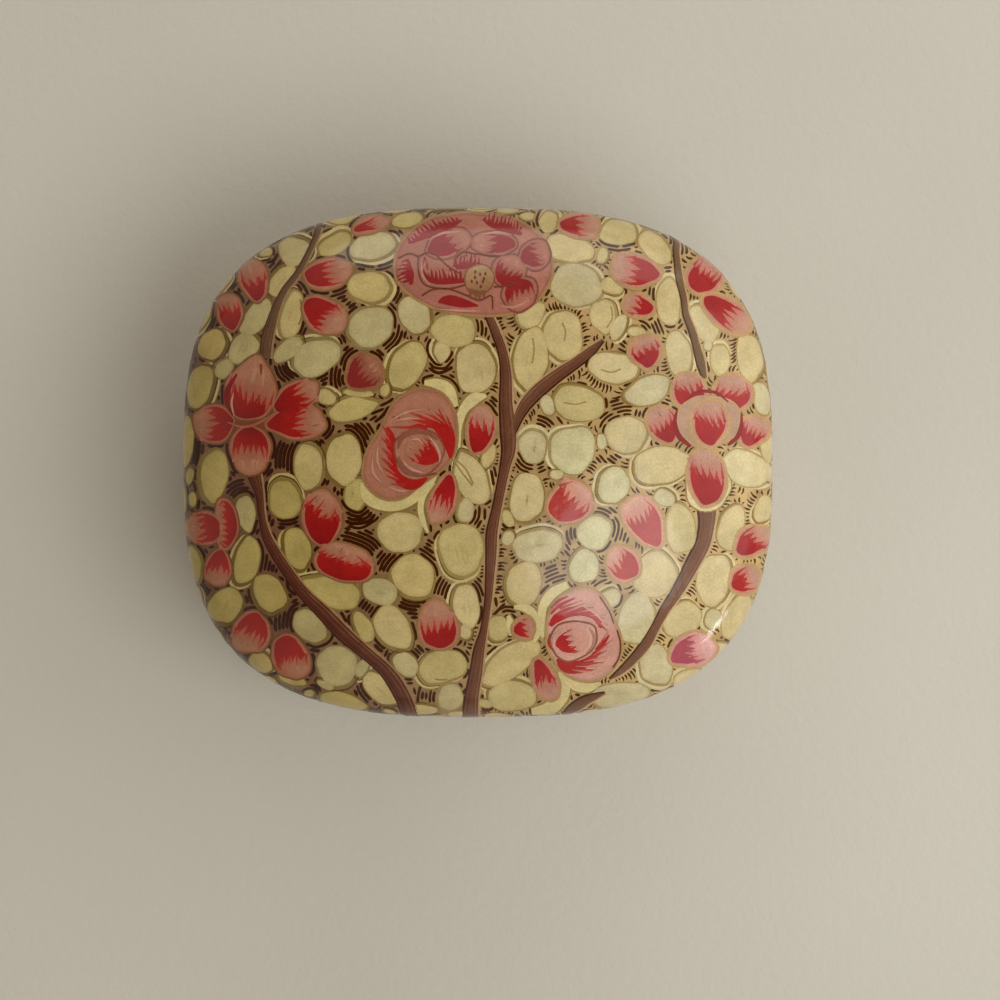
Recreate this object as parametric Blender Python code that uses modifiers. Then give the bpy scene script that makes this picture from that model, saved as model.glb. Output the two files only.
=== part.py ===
"""A moulded papier-mache trinket box with a domed lid that lifts off.

All sizes are in metres. +Z is up, +X runs along the box's longer side, and the origin is
in the middle of the underside. Every piece follows one outline, a superellipse, which is
a shape between an ellipse and a rectangle, set in from it by the pieces that lie outside.
"""

import math

import bmesh
import bpy

# The box's outside
LENGTH = 0.088
WIDTH = 0.076
OUTLINE_POWER = 2.9  # 2 is an ellipse, and a larger power has squarer corners
BASE_HEIGHT = 0.026  # from the table to the seam
LID_SIDE_HEIGHT = 0.009  # the upright band of the lid, under its crown
CROWN_RISE = 0.0147  # from that band to the top
CROWN_POWER = 2.5  # 2 is a round crown, and a larger power has a flatter top

# The moulded shells
WALL = 0.0026
FOOT_RADIUS = 0.0040  # the rounded lower edge of the base
LEDGE_WIDTH = 0.0070  # how far the base wall turns in under its floor
LEDGE_THICKNESS = 0.0022

# The pasteboard pieces glued inside
FLOOR_THICKNESS = 0.0024
NECK_THICKNESS = 0.0014
NECK_STANDS = 0.0058  # how far the neck rises past the seam, into the lid

# Fits
GLUE_GAP = 0.0003  # between glued pieces
SEAM_GAP = 0.0003  # between the lid's rim and the base's
SLIP_GAP = 0.0004  # between the neck and the shells around it

# Rounding of the cut edges
RIM_ROUNDING = 0.0005
BOARD_ROUNDING = 0.0003

# How finely the curves are divided
SEGMENTS = 72
CROWN_RINGS = 9
FOOT_RINGS = 4
LAST_RING_ANGLE = math.radians(81)  # of the ring before a crown's middle point

DARK_BROWN = (0.045, 0.026, 0.018)
CREAM = (0.62, 0.55, 0.33)
BLACK = (0.012, 0.010, 0.009)


def make_material(name, colour, roughness):
    """A lacquered surface of one colour."""
    material = bpy.data.materials.new(name)
    material.use_nodes = True
    shader = material.node_tree.nodes["Principled BSDF"]
    shader.inputs["Base Color"].default_value = (*colour, 1)
    shader.inputs["Roughness"].default_value = roughness
    shader.inputs["Metallic"].default_value = 0
    shader.inputs["Coat Weight"].default_value = 0.8
    shader.inputs["Coat Roughness"].default_value = 0.1
    return material


def reach(angle, half_length, half_width):
    """How far a superellipse of these half sizes lies from its middle, towards an angle."""
    along = abs(math.cos(angle) / half_length) ** OUTLINE_POWER
    across = abs(math.sin(angle) / half_width) ** OUTLINE_POWER
    return (along + across) ** (-1 / OUTLINE_POWER)


def put_on_outline(vertices, inset, height, share=1.0):
    """Moves a ring of vertices onto the outline, set in from it and drawn in to a share."""
    for vertex in vertices:
        angle = math.atan2(vertex.co.y, vertex.co.x)
        far = share * reach(angle, LENGTH / 2 - inset, WIDTH / 2 - inset)
        vertex.co = (far * math.cos(angle), far * math.sin(angle), height)


def loft(sections):
    """Skins a row of rings, each an (inset, height) or an (inset, height, share).

    Returns the open skin with the edges of its first ring and of its last.
    """
    skin = bmesh.new()
    circle = bmesh.ops.create_circle(skin, cap_ends=False, radius=1, segments=SEGMENTS)
    put_on_outline(circle["verts"], *sections[0])
    first = list(skin.edges)
    last = first
    for section in sections[1:]:
        grown = bmesh.ops.extrude_edge_only(skin, edges=last)["geom"]
        put_on_outline([part for part in grown if isinstance(part, bmesh.types.BMVert)], *section)
        last = [part for part in grown if isinstance(part, bmesh.types.BMEdge)]
    return skin, first, last


def loft_ring(sections):
    """A closed ring whose profile is these sections, in order around it."""
    skin, first, last = loft(sections + sections[:1])
    bmesh.ops.remove_doubles(skin, verts=skin.verts, dist=1e-6)
    return skin


def close_with_point(skin, edges, height):
    """Closes a ring of edges with triangles that meet in the middle, at this height."""
    face = bmesh.ops.edgeloop_fill(skin, edges=edges)["faces"]
    middle = bmesh.ops.poke(skin, faces=face)["verts"][0]
    middle.co = (0, 0, height)


def finish_piece(skin, name, material, rounding, collection):
    """Makes a smooth-shaded object of a closed skin, with its sharp edges rounded."""
    bmesh.ops.recalc_face_normals(skin, faces=skin.faces)
    mesh = bpy.data.meshes.new(name)
    skin.to_mesh(mesh)
    skin.free()
    mesh.materials.append(material)
    mesh.shade_smooth()
    mesh.set_sharp_from_angle(angle=math.radians(40))
    piece = bpy.data.objects.new(name, mesh)
    collection.objects.link(piece)
    bevel = piece.modifiers.new("rounded_edges", "BEVEL")
    bevel.width = rounding
    bevel.segments = 2
    bevel.limit_method = "ANGLE"
    bevel.angle_limit = math.radians(60)
    return piece


def make_base_wall(material, collection):
    """The side of the base, rounded at its foot and turned in there as a ledge."""
    ledge_inset = WALL + LEDGE_WIDTH
    sections = [(ledge_inset, LEDGE_THICKNESS), (ledge_inset, 0)]
    for ring in range(FOOT_RINGS + 1):
        turn = math.pi / 2 * ring / FOOT_RINGS
        inset = FOOT_RADIUS * (1 - math.sin(turn))
        sections.append((inset, FOOT_RADIUS * (1 - math.cos(turn))))
    sections += [(0, BASE_HEIGHT), (WALL, BASE_HEIGHT), (WALL, LEDGE_THICKNESS)]
    return finish_piece(loft_ring(sections), "base_wall", material, RIM_ROUNDING, collection)


def make_floor(bottom, top, material, collection):
    """A board cut to the inside of the base wall, lying on its ledge."""
    inset = WALL + GLUE_GAP
    skin, first, last = loft([(inset, bottom), (inset, top)])
    bmesh.ops.edgeloop_fill(skin, edges=first)
    bmesh.ops.edgeloop_fill(skin, edges=last)
    return finish_piece(skin, "base_floor", material, BOARD_ROUNDING, collection)


def make_neck(bottom, material, collection):
    """The strip that lines the base wall and stands up past the seam to hold the lid."""
    top = BASE_HEIGHT + NECK_STANDS
    outer = WALL + SLIP_GAP
    inner = outer + NECK_THICKNESS
    skin = loft_ring([(outer, bottom), (outer, top), (inner, top), (inner, bottom)])
    return finish_piece(skin, "neck_collar", material, BOARD_ROUNDING, collection)


def crown(inset, foot):
    """The sections of a crown from its foot to its last ring, set in from the outside."""
    sections = []
    for ring in range(CROWN_RINGS + 1):
        climb = LAST_RING_ANGLE * ring / CROWN_RINGS
        height = foot + (CROWN_RISE - inset) * math.sin(climb)
        sections.append((inset, height, math.cos(climb) ** (2 / CROWN_POWER)))
    return sections


def make_lid(material, collection):
    """The lid: an upright band and a domed crown, moulded as one shell."""
    rim = BASE_HEIGHT + SEAM_GAP
    crown_foot = rim + LID_SIDE_HEIGHT
    outside = crown(0, crown_foot)[::-1] + [(0, rim)]
    inside = [(WALL, rim)] + crown(WALL, crown_foot)
    skin, first, last = loft(outside + inside)
    close_with_point(skin, first, crown_foot + CROWN_RISE)
    close_with_point(skin, last, crown_foot + CROWN_RISE - WALL)
    return finish_piece(skin, "lid_shell", material, RIM_ROUNDING, collection)


def main():
    for thing in list(bpy.data.objects):
        bpy.data.objects.remove(thing)
    box = bpy.data.collections.new("lacquer_trinket_box")
    bpy.context.scene.collection.children.link(box)

    painted = make_material("painted_lacquer", CREAM, 0.3)
    dark = make_material("dark_lacquer", DARK_BROWN, 0.35)
    board = make_material("black_board", BLACK, 0.5)

    floor_bottom = LEDGE_THICKNESS + GLUE_GAP
    floor_top = floor_bottom + FLOOR_THICKNESS
    make_base_wall(painted, box)
    make_floor(floor_bottom, floor_top, board, box)
    make_neck(floor_top + GLUE_GAP, dark, box)
    make_lid(painted, box)


main()
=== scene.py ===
"""The looks of a papier-mache trinket box: painted shells, dark insides, camera and light.

The painting lies on the shells as real layers of paint, each a few hundredths of a
millimetre over the last, under one smooth lacquer. Sizes in the painting are in
millimetres. What the photograph shows of the lid is placed as it is seen from the camera,
on the plane of the crown's foot, with +X right and +Y up. The sides, which it doesn't
show, carry the same motifs, placed in millimetres round the box and up it.
"""

import math
import random
from typing import NamedTuple

import bmesh
import bpy
import numpy as np
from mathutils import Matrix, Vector
from mathutils.kdtree import KDTree


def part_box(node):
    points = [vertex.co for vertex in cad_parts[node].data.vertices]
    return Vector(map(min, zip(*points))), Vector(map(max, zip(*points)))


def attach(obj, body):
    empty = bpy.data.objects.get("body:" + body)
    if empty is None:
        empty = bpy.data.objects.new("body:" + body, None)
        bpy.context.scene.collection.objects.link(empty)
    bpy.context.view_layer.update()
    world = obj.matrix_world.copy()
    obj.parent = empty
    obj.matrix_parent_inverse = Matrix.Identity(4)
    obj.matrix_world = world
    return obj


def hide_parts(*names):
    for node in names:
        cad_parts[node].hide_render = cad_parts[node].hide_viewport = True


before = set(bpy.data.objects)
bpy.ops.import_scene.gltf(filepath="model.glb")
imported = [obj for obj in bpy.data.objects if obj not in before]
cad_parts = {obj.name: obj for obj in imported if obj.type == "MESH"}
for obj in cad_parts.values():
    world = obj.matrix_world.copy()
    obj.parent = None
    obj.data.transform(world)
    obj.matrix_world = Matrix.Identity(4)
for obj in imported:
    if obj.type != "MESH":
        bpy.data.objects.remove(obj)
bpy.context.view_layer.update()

MM = 0.001


def corners(node):
    """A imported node's lowest and highest corners, in millimetres."""
    return [[value / MM for value in corner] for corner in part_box(node)]


# The shells' shape, in millimetres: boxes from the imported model, and what it was built with
LID_LOW, LID_HIGH = corners("lid_shell")
NECK_LOW, NECK_HIGH = corners("neck_collar")
FLOOR_LOW, FLOOR_HIGH = corners("base_floor")
HALF_LENGTH, HALF_WIDTH, LID_TOP = LID_HIGH
LID_RIM = LID_LOW[2]
BASE_RIM = corners("base_wall")[1][2]
OUTLINE_POWER = 2.9
CROWN_POWER = 2.5
CROWN_RISE = 14.7
CROWN_FOOT = LID_TOP - CROWN_RISE
WALL = 2.6
FOOT_RADIUS = 4.0
LEDGE_WIDTH = 7.0
LEDGE_THICKNESS = 2.2
RIM_ROUNDING = 0.5
LEDGE_ROUNDING = 0.3
NECK_WALL = 1.4
NECK_ROUNDING = 0.35
FLOOR_CHAMFER = 0.3
SHELL_SEGMENTS = 288

# The camera looks straight down from here, over the crown's foot
CAMERA_HEIGHT = 380.0
PICTURE_PIXELS = 1000
BOX_PIXELS = 588  # the box's length in the photograph
BOX_CENTRE_PIXEL = (478, 462.5)
PIXEL = 2 * HALF_LENGTH / BOX_PIXELS
CAMERA_X = (PICTURE_PIXELS / 2 - BOX_CENTRE_PIXEL[0]) * PIXEL
CAMERA_Y = (BOX_CENTRE_PIXEL[1] - PICTURE_PIXELS / 2) * PIXEL

# Where a leaf or petal meets the crown's steep edge, it runs on down the side
ROUND_SHARE = 0.97  # of the way out to the edge
DOWN_STRETCH = 2.4  # millimetres down the side for each one seen past that

# Paint layers, as heights over the shell
TUCK = -0.02  # every layer's edge goes just under the shell's surface
HATCH_LIFT = 0.02
UNDER_LIFT = 0.03
RING_LIFT = 0.045
LEAF_LIFT = 0.06
VEIN_LIFT = 0.07
STEM_LIFT = 0.104
PETAL_RING_LIFT = 0.13
PETAL_LIFT = 0.144
STROKE_LIFT = 0.159
COMB_LIFT = STROKE_LIFT + 0.03
SPIKE_LIFT = STROKE_LIFT + 0.036
PINK_LIFT = STROKE_LIFT + 0.046
EYE_LIFT = STROKE_LIFT + 0.05
LINE_LIFT = STROKE_LIFT + 0.054
HEART_LIFT = STROKE_LIFT + 0.06
PLY = 0.003  # between strokes of one kind that overlap
LAYERS = ("hatching", "borders", "leaves", "stems", "petals")
RIM_LINE_WIDTH = 0.55
RIM_LINE_LIFT = 0.05
RIM_LINE_AWAY = 0.75  # from the seam

# The ground is darker on the left of the lid, partly as painted shade away from the light on the right,
# and the hatching there is also broader
GROUND_TURNS = 32.0  # millimetres to either side of the middle
GROUND_SLANT = 0.008  # how much sooner it turns for each millimetre nearer the front
HATCH_WIDTH = (0.58, 0.4)
HATCH_LENGTH = (6.0, 2.0)


def srgb(red, green, blue):
    """A colour as a picture holds it, 0 to 255, turned into linear light."""
    values = [value / 255 for value in (red, green, blue)]
    return tuple(v / 12.92 if v <= 0.04045 else ((v + 0.055) / 1.055) ** 2.4 for v in values)


# Colours that run from the lid's left side to its right, darker on the left partly as painted shade, as
# the light falls from the right
CREAMS = [
    (srgb(184, 164, 104), srgb(214, 200, 158)),
    (srgb(176, 158, 92), srgb(206, 192, 144)),
    (srgb(176, 162, 110), srgb(206, 196, 158)),
    (srgb(186, 164, 98), srgb(210, 194, 148)),
]
PALE_GREEN = (srgb(184, 178, 128), srgb(214, 208, 168))
CURVED_CREAM = (srgb(192, 176, 116), srgb(212, 198, 150))
UNDER_CREAM = (srgb(196, 180, 130), srgb(218, 204, 160))
KHAKI = (srgb(98, 73, 24), srgb(158, 132, 76))
GROUND = (srgb(110, 74, 50), srgb(192, 162, 108))
PETAL_EDGE = (srgb(118, 72, 40), srgb(188, 154, 104))
PINK_TIP = (srgb(164, 116, 88), srgb(184, 148, 128))
PINK_BASE = (srgb(160, 88, 70), srgb(196, 120, 108))
PINK_LIGHT = (srgb(190, 136, 110), srgb(216, 172, 154))
REDS = (srgb(158, 25, 18), srgb(168, 40, 40))
WINES = (srgb(118, 15, 17), srgb(150, 32, 36))
STEM_TAN = (srgb(144, 110, 74), srgb(190, 162, 120))
STEM_BROWN = (srgb(82, 32, 18), srgb(118, 80, 60))
HATCH_DARK = (srgb(50, 15, 2), srgb(74, 42, 10))

STEM_DARK = srgb(40, 16, 6)
UPPER_STEMS = (srgb(92, 62, 40), srgb(116, 88, 60))
ROSE_PINK = srgb(172, 112, 96)
ROSE_RED = srgb(138, 32, 34)
ROSE_LINE = srgb(112, 56, 40)
ROSE_EYE = srgb(146, 102, 68)
RIGHT_ROSE_PINK = (srgb(200, 146, 132), srgb(208, 162, 148))
GOLD = srgb(176, 138, 70)
INSIDE_BLACK = (srgb(22, 17, 15), srgb(44, 33, 27))
NECK_BROWN = (srgb(58, 32, 22), srgb(92, 54, 36))
FLOOR_COLOURS = (srgb(192, 189, 179), srgb(198, 195, 185))
MUDDY_COLOURS = {"red": srgb(128, 42, 38), "pinks": (srgb(138, 70, 56), srgb(152, 104, 82))}
PURPLE_COLOURS = {"red": srgb(168, 78, 92), "pinks": (srgb(196, 120, 124), srgb(222, 176, 172))}

# Paler petal colours that paint in the lacquer's sheen where the light from the lower right reflects
SHEEN_COLOURS = {"red": srgb(172, 56, 50), "pinks": (srgb(204, 132, 116), srgb(206, 160, 142))}

# Parts of the lid's top, as low and high x and low and high y: where the petals are paler, a painted sheen
# of the lacquer, and where many of the leaves are green, with the share of them
SHEEN_PART = (12, 26, -16, -5)
GREEN_PART = (12, 24, -18, 10)
GREEN_SHARE = 0.75

# Lamps: name, place, length and width, power in watts and colour. Places are in metres
LAMPS = [
    ("skylight", (0.157, -0.134, 0.42), (0.28, 0.28), 0.86, (0.98, 0.985, 0.97)),
    ("daylight", (0.42, 0.03, 0.33), (0.62, 0.62), 1.04, (0.96, 0.985, 1.0)),
    ("far_wall", (0.08, 0.56, 0.27), (0.66, 0.4), 1.28, (1.0, 0.985, 0.97)),
    ("window", (0.62, -0.46, 0.12), (0.2, 0.06), 0.5, (1.0, 1.0, 1.0)),
]
LAMP_AIM = (0, 0, 0.03)
ROOM_GLOW = (0.7, 0.61, 0.49)  # low in the room round the box, which is dark above

# Leaves: middle x and y, length, width, the long way's angle in degrees, and where one
# isn't round, how pointed it is at that angle, from 0 to 1
LEAVES = [
    (-27.4, 31.5, 4.8, 4.0, 25), (-29.3, 27.1, 5.6, 3.0, 52), (-33.2, 21.7, 6.6, 3.4, 52),
    (-35.1, 17.0, 5.2, 3.8, 55), (-39.7, 17.6, 4.6, 3.6, 60), (-27.8, 22.0, 7.0, 3.2, 76),
    (-28.4, 16.9, 5.4, 2.6, 38), (-24.1, 15.7, 7.6, 5.0, 22), (-21.4, 32.6, 5.2, 2.8, 26),
    (-15.7, 32.4, 6.8, 4.0, 15), (-10.6, 36.2, 4.6, 2.0, 12), (-16.3, 26.3, 6.4, 4.4, 0),
    (-16.0, 20.3, 7.0, 5.8, 15), (-9.5, 22.2, 6.0, 4.4, 108), (-3.6, 19.7, 6.8, 4.7, -4),
    (-5.4, 16.5, 3.4, 2.4, -90, 0.5), (-10.6, 14.4, 7.8, 4.8, -118, 0.3), (-13.9, 10.9, 2.0, 1.5, 75, 0.9),
    (-0.4, 14.0, 7.2, 5.9, 100), (-41.5, 11.4, 6.6, 3.4, 78), (-38.0, 14.0, 3.2, 2.4, 45),
    (-22.7, 9.8, 3.0, 2.3, -25), (-25.4, -0.8, 7.0, 4.1, -90, 0.4), (-39.4, -2.0, 7.8, 4.2, -98, 0.3),
    (-43.4, 3.2, 7.5, 1.8, 88), (-20.0, 0.4, 8.0, 5.2, -90, 0.2), (-18.6, 8.0, 7.4, 3.6, 14, 0.8),
    (-17.8, 10.4, 4.4, 1.2, -4), (-18.3, -4.7, 4.8, 3.2, 78), (-1.0, -2.4, 8.6, 4.6, 114, 0.5),
    (7.9, 15.4, 9.2, 5.4, -98, 0.5), (12.8, 19.0, 7.6, 5.6, 100), (8.1, 22.3, 4.8, 3.6, 40, 0.7),
    (14.7, 26.5, 7.4, 6.5, -20), (13.6, 32.0, 7.4, 3.9, -12), (18.6, 31.0, 2.4, 1.6, 80),
    (20.0, 26.4, 3.6, 2.2, -25), (21.0, 34.3, 5.4, 3.6, -8), (10.5, 35.9, 3.0, 2.6, 60),
    (4.4, 37.7, 3.4, 1.0, 0), (18.7, 21.8, 5.2, 3.8, -80, 0.3), (21.0, 20.3, 4.2, 2.0, 62),
    (26.5, 32.0, 5.8, 3.3, -42), (28.5, 24.0, 6.8, 3.6, 92), (33.8, 20.8, 6.0, 3.8, -56),
    (23.8, 19.5, 2.8, 1.6, -10), (33.0, 31.5, 2.0, 0.9, -35), (20.2, 14.2, 7.4, 4.5, -12),
    (15.1, 8.8, 7.8, 5.0, -10, 0.1), (10.4, 8.6, 3.0, 2.0, 110), (8.2, 2.3, 4.8, 4.2, 90),
    (14.2, 1.8, 7.0, 6.6, 90), (18.5, 3.1, 2.4, 1.4, 95), (22.1, 4.2, 6.0, 5.7, 0),
    (20.3, -3.4, 5.6, 4.6, 80), (1.6, 1.0, 3.8, 1.9, 70, 0.5), (25.3, 10.7, 7.0, 4.2, 198, 0.4),
    (30.0, 16.2, 7.2, 3.6, -82), (36.2, 15.3, 4.7, 2.9, 95), (40.5, 15.6, 7.4, 3.5, -84, 0.2),
    (42.3, 9.6, 4.8, 2.4, -76), (43.1, 2.8, 5.6, 1.8, -86), (34.4, 17.6, 1.8, 1.2, 80),
    (27.5, -0.4, 8.6, 5.6, 12), (40.1, -0.9, 7.2, 5.0, -28), (-28.9, -5.6, 5.9, 4.4, 100),
    (-34.7, -7.7, 5.4, 3.1, -84, 0.4), (-34.5, -14.6, 7.2, 3.7, 80), (-27.0, -12.9, 6.2, 4.1, -76, 0.2),
    (-31.2, -19.5, 6.0, 4.3, -64), (-37.7, -21.3, 5.4, 4.5, 60), (-32.4, -29.8, 3.8, 2.4, -35),
    (-27.8, -32.3, 4.2, 1.5, -20), (-25.2, -24.5, 5.8, 3.9, -48), (-21.0, -30.4, 6.2, 5.9, 0),
    (-17.3, -30.6, 3.2, 1.8, 60, 0.6), (-22.8, -33.3, 2.8, 1.1, -25), (-21.9, -19.3, 8.8, 4.6, 160, 0.6),
    (-14.6, -19.3, 5.2, 4.0, -15), (-9.6, -17.0, 6.7, 6.0, -30), (-11.6, -10.4, 6.6, 6.2, 0),
    (-1.8, -7.1, 3.7, 2.4, 85), (-2.5, -13.0, 8.0, 6.3, -78, 0.2), (-1.7, -21.5, 6.9, 3.9, -84, 0.3),
    (-1.9, -25.3, 2.2, 1.8, 90), (-12.7, -24.7, 7.0, 5.0, -52), (-17.1, -24.6, 4.8, 2.5, -62),
    (-10.8, -30.2, 4.4, 3.1, -46), (-5.2, -30.5, 6.9, 4.8, 14), (-4.1, -35.1, 3.9, 3.6, 90),
    (-14.5, -33.9, 6.6, 3.5, -40, 0.3), (-8.3, -36.9, 4.6, 1.3, -4), (-2.8, -37.6, 3.4, 1.0, 0),
    (7.3, -5.2, 7.4, 4.9, 86), (4.5, -8.4, 2.6, 1.6, 110), (8.9, -12.5, 7.6, 4.6, 8),
    (4.5, -11.3, 2.2, 1.8, 60), (6.9, -18.1, 6.6, 5.4, 82), (11.8, -1.8, 2.0, 1.5, 0),
    (17.4, -10.5, 5.2, 4.6, 60), (15.9, -15.5, 5.2, 4.2, 80), (27.9, -5.3, 3.2, 2.4, -30),
    (30.3, -9.9, 7.6, 4.2, 96), (37.9, -9.7, 7.0, 3.6, 76), (42.6, -6.9, 4.2, 2.4, 76),
    (26.4, -16.8, 6.8, 6.0, 50), (35.2, -17.6, 8.0, 4.9, 84), (23.7, -23.3, 7.6, 5.4, 74),
    (30.6, -23.5, 6.2, 4.7, 42), (26.6, -30.2, 5.9, 4.7, 98), (21.2, -34.7, 8.6, 3.6, 9, 0.2),
    (35.2, -23.4, 3.0, 2.6, 60), (38.6, -23.0, 7.0, 3.4, 66), (31.2, -32.1, 4.8, 2.0, 26),
    (35.4, -29.0, 5.4, 3.0, 46), (3.1, -24.8, 3.9, 3.0, 90), (4.9, -29.9, 10.4, 4.3, 38),
    (5.1, -34.9, 7.4, 4.4, -3), (0.9, -36.0, 2.6, 1.2, -10), (19.8, -20.3, 3.2, 2.6, 20),
]

# Curved leaves: points along the middle, each with the leaf's width there
CURVED_LEAVES = [
    [(-8.0, 11.9, 0.8), (-6.2, 11.8, 1.7), (-4.4, 10.8, 2.0), (-3.2, 8.4, 0.7)],
    [(1.2, 10.0, 0.6), (-0.6, 9.5, 2.0), (-2.2, 7.8, 1.5), (-3.0, 5.2, 1.3), (-2.9, 2.2, 0.6)],
    [
        (-17.3, -3.0, 0.7), (-16.5, -5.2, 1.9), (-14.2, -6.3, 2.0), (-11.6, -6.1, 2.2), (-9.2, -4.7, 2.2),
        (-7.4, -2.9, 1.8), (-6.3, -1.7, 0.8),
    ],
    [(-6.6, -3.0, 0.7), (-8.1, -4.8, 1.0), (-8.6, -6.8, 1.0), (-8.2, -8.8, 0.9), (-7.5, -10.5, 0.3)],
    [(-6.8, -4.6, 0.5), (-7.4, -6.2, 0.8), (-7.2, -7.8, 0.9), (-6.3, -9.2, 0.4)],
    [(13.4, -18.3, 1.2), (11.2, -19.5, 1.7), (9.8, -21.4, 1.5), (9.5, -23.8, 1.2), (9.7, -26.2, 0.5)],
    [(5.4, -21.6, 0.6), (7.4, -21.9, 1.4), (8.7, -23.4, 1.3), (9.0, -25.4, 1.1), (8.4, -26.8, 0.5)],
    [(12.9, -32.2, 0.6), (14.4, -33.3, 1.6), (16.4, -33.7, 1.5), (18.4, -33.0, 0.5)],
    [(8.0, -37.2, 0.9), (10.4, -36.8, 2.0), (12.4, -35.3, 2.1), (13.0, -33.2, 1.7), (12.3, -31.3, 0.8)],
    [(4.6, -22.9, 0.5), (4.9, -24.4, 1.4), (5.0, -25.9, 0.6)],
]

# Stems: points along the middle, each with the stem's width there
STEMS = [
    [
        (1.5, 22.3, 1.1), (2.7, 19.4, 1.3), (3.7, 16.5, 1.4), (4.2, 13.0, 1.7), (4.2, 9.0, 2.0),
        (4.5, 5.0, 2.4), (4.6, 2.0, 2.2), (4.1, -0.5, 1.6), (3.5, -3.5, 1.4), (2.8, -7.0, 1.4),
        (2.1, -10.5, 1.7), (2.0, -13.5, 1.6), (1.8, -17.0, 1.3), (1.5, -21.0, 1.0), (0.9, -25.0, 1.0),
        (0.2, -28.0, 1.6), (-0.3, -31.5, 1.9), (-0.9, -35.0, 2.1), (-1.2, -38.6, 2.6),
    ],
    [
        (4.8, 3.6, 1.0), (5.9, 6.5, 1.4), (7.2, 8.8, 1.9), (9.2, 10.9, 2.1), (11.8, 13.0, 1.9),
        (14.6, 14.9, 1.6), (16.8, 16.6, 1.4), (18.7, 18.3, 0.4),
    ],
    [
        (-33.4, -2.0, 2.0), (-32.7, -4.6, 1.2), (-32.3, -8.0, 0.9), (-31.6, -11.0, 1.3),
        (-30.0, -14.0, 1.5), (-28.0, -17.0, 1.6), (-26.0, -19.6, 1.7), (-23.0, -22.6, 2.2),
        (-20.2, -25.5, 2.3), (-17.0, -28.3, 2.0), (-14.3, -30.6, 2.0), (-12.4, -33.0, 2.4),
        (-10.8, -36.0, 2.4), (-10.0, -38.4, 2.4),
    ],
    [
        (-23.6, 35.2, 0.7), (-25.3, 31.4, 0.7), (-27.0, 28.3, 0.8), (-28.9, 25.8, 0.9), (-30.1, 23.3, 1.1),
        (-31.0, 20.6, 1.5), (-31.6, 18.0, 1.7), (-31.8, 15.6, 1.6),
    ],
    [
        (29.4, 34.2, 0.7), (29.8, 30.0, 0.9), (30.2, 27.0, 1.0), (30.8, 24.5, 0.9), (31.1, 22.2, 0.9),
        (32.0, 19.8, 1.0), (32.7, 17.3, 1.1), (33.3, 15.0, 1.3), (33.9, 12.6, 0.6),
    ],
    [
        (34.3, -6.8, 3.0), (34.2, -9.5, 2.4), (33.6, -12.2, 2.3), (32.4, -14.6, 2.2), (31.0, -17.2, 2.0),
        (29.6, -19.6, 1.7), (28.0, -22.0, 1.4), (26.5, -24.7, 1.3), (25.2, -27.0, 1.5), (23.6, -29.0, 1.3),
        (21.6, -31.0, 1.0), (19.7, -32.4, 0.2),
    ],
    [(19.0, -34.4, 0.2), (17.4, -35.0, 1.0), (15.4, -35.9, 1.4), (13.2, -37.4, 1.1)],
]

# Where stems run down the lid's side: an angle round the box in degrees, a width and the
# height that they start from. The base's stems continue those, and there are more of them
LID_STEMS = [
    (49.3, 0.9, 36.0), (123.8, 0.7, 38.9), (255.4, 2.4, 36.2), (268.2, 2.6, 36.2), (289.4, 1.2, 38.2),
]
SIDE_STEMS = sorted(
    [(angle, width) for angle, width, _ in LID_STEMS]
    + [(8, 1.2), (90, 1.3), (176, 1.4), (214, 1.1), (327, 1.4)]
)

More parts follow.
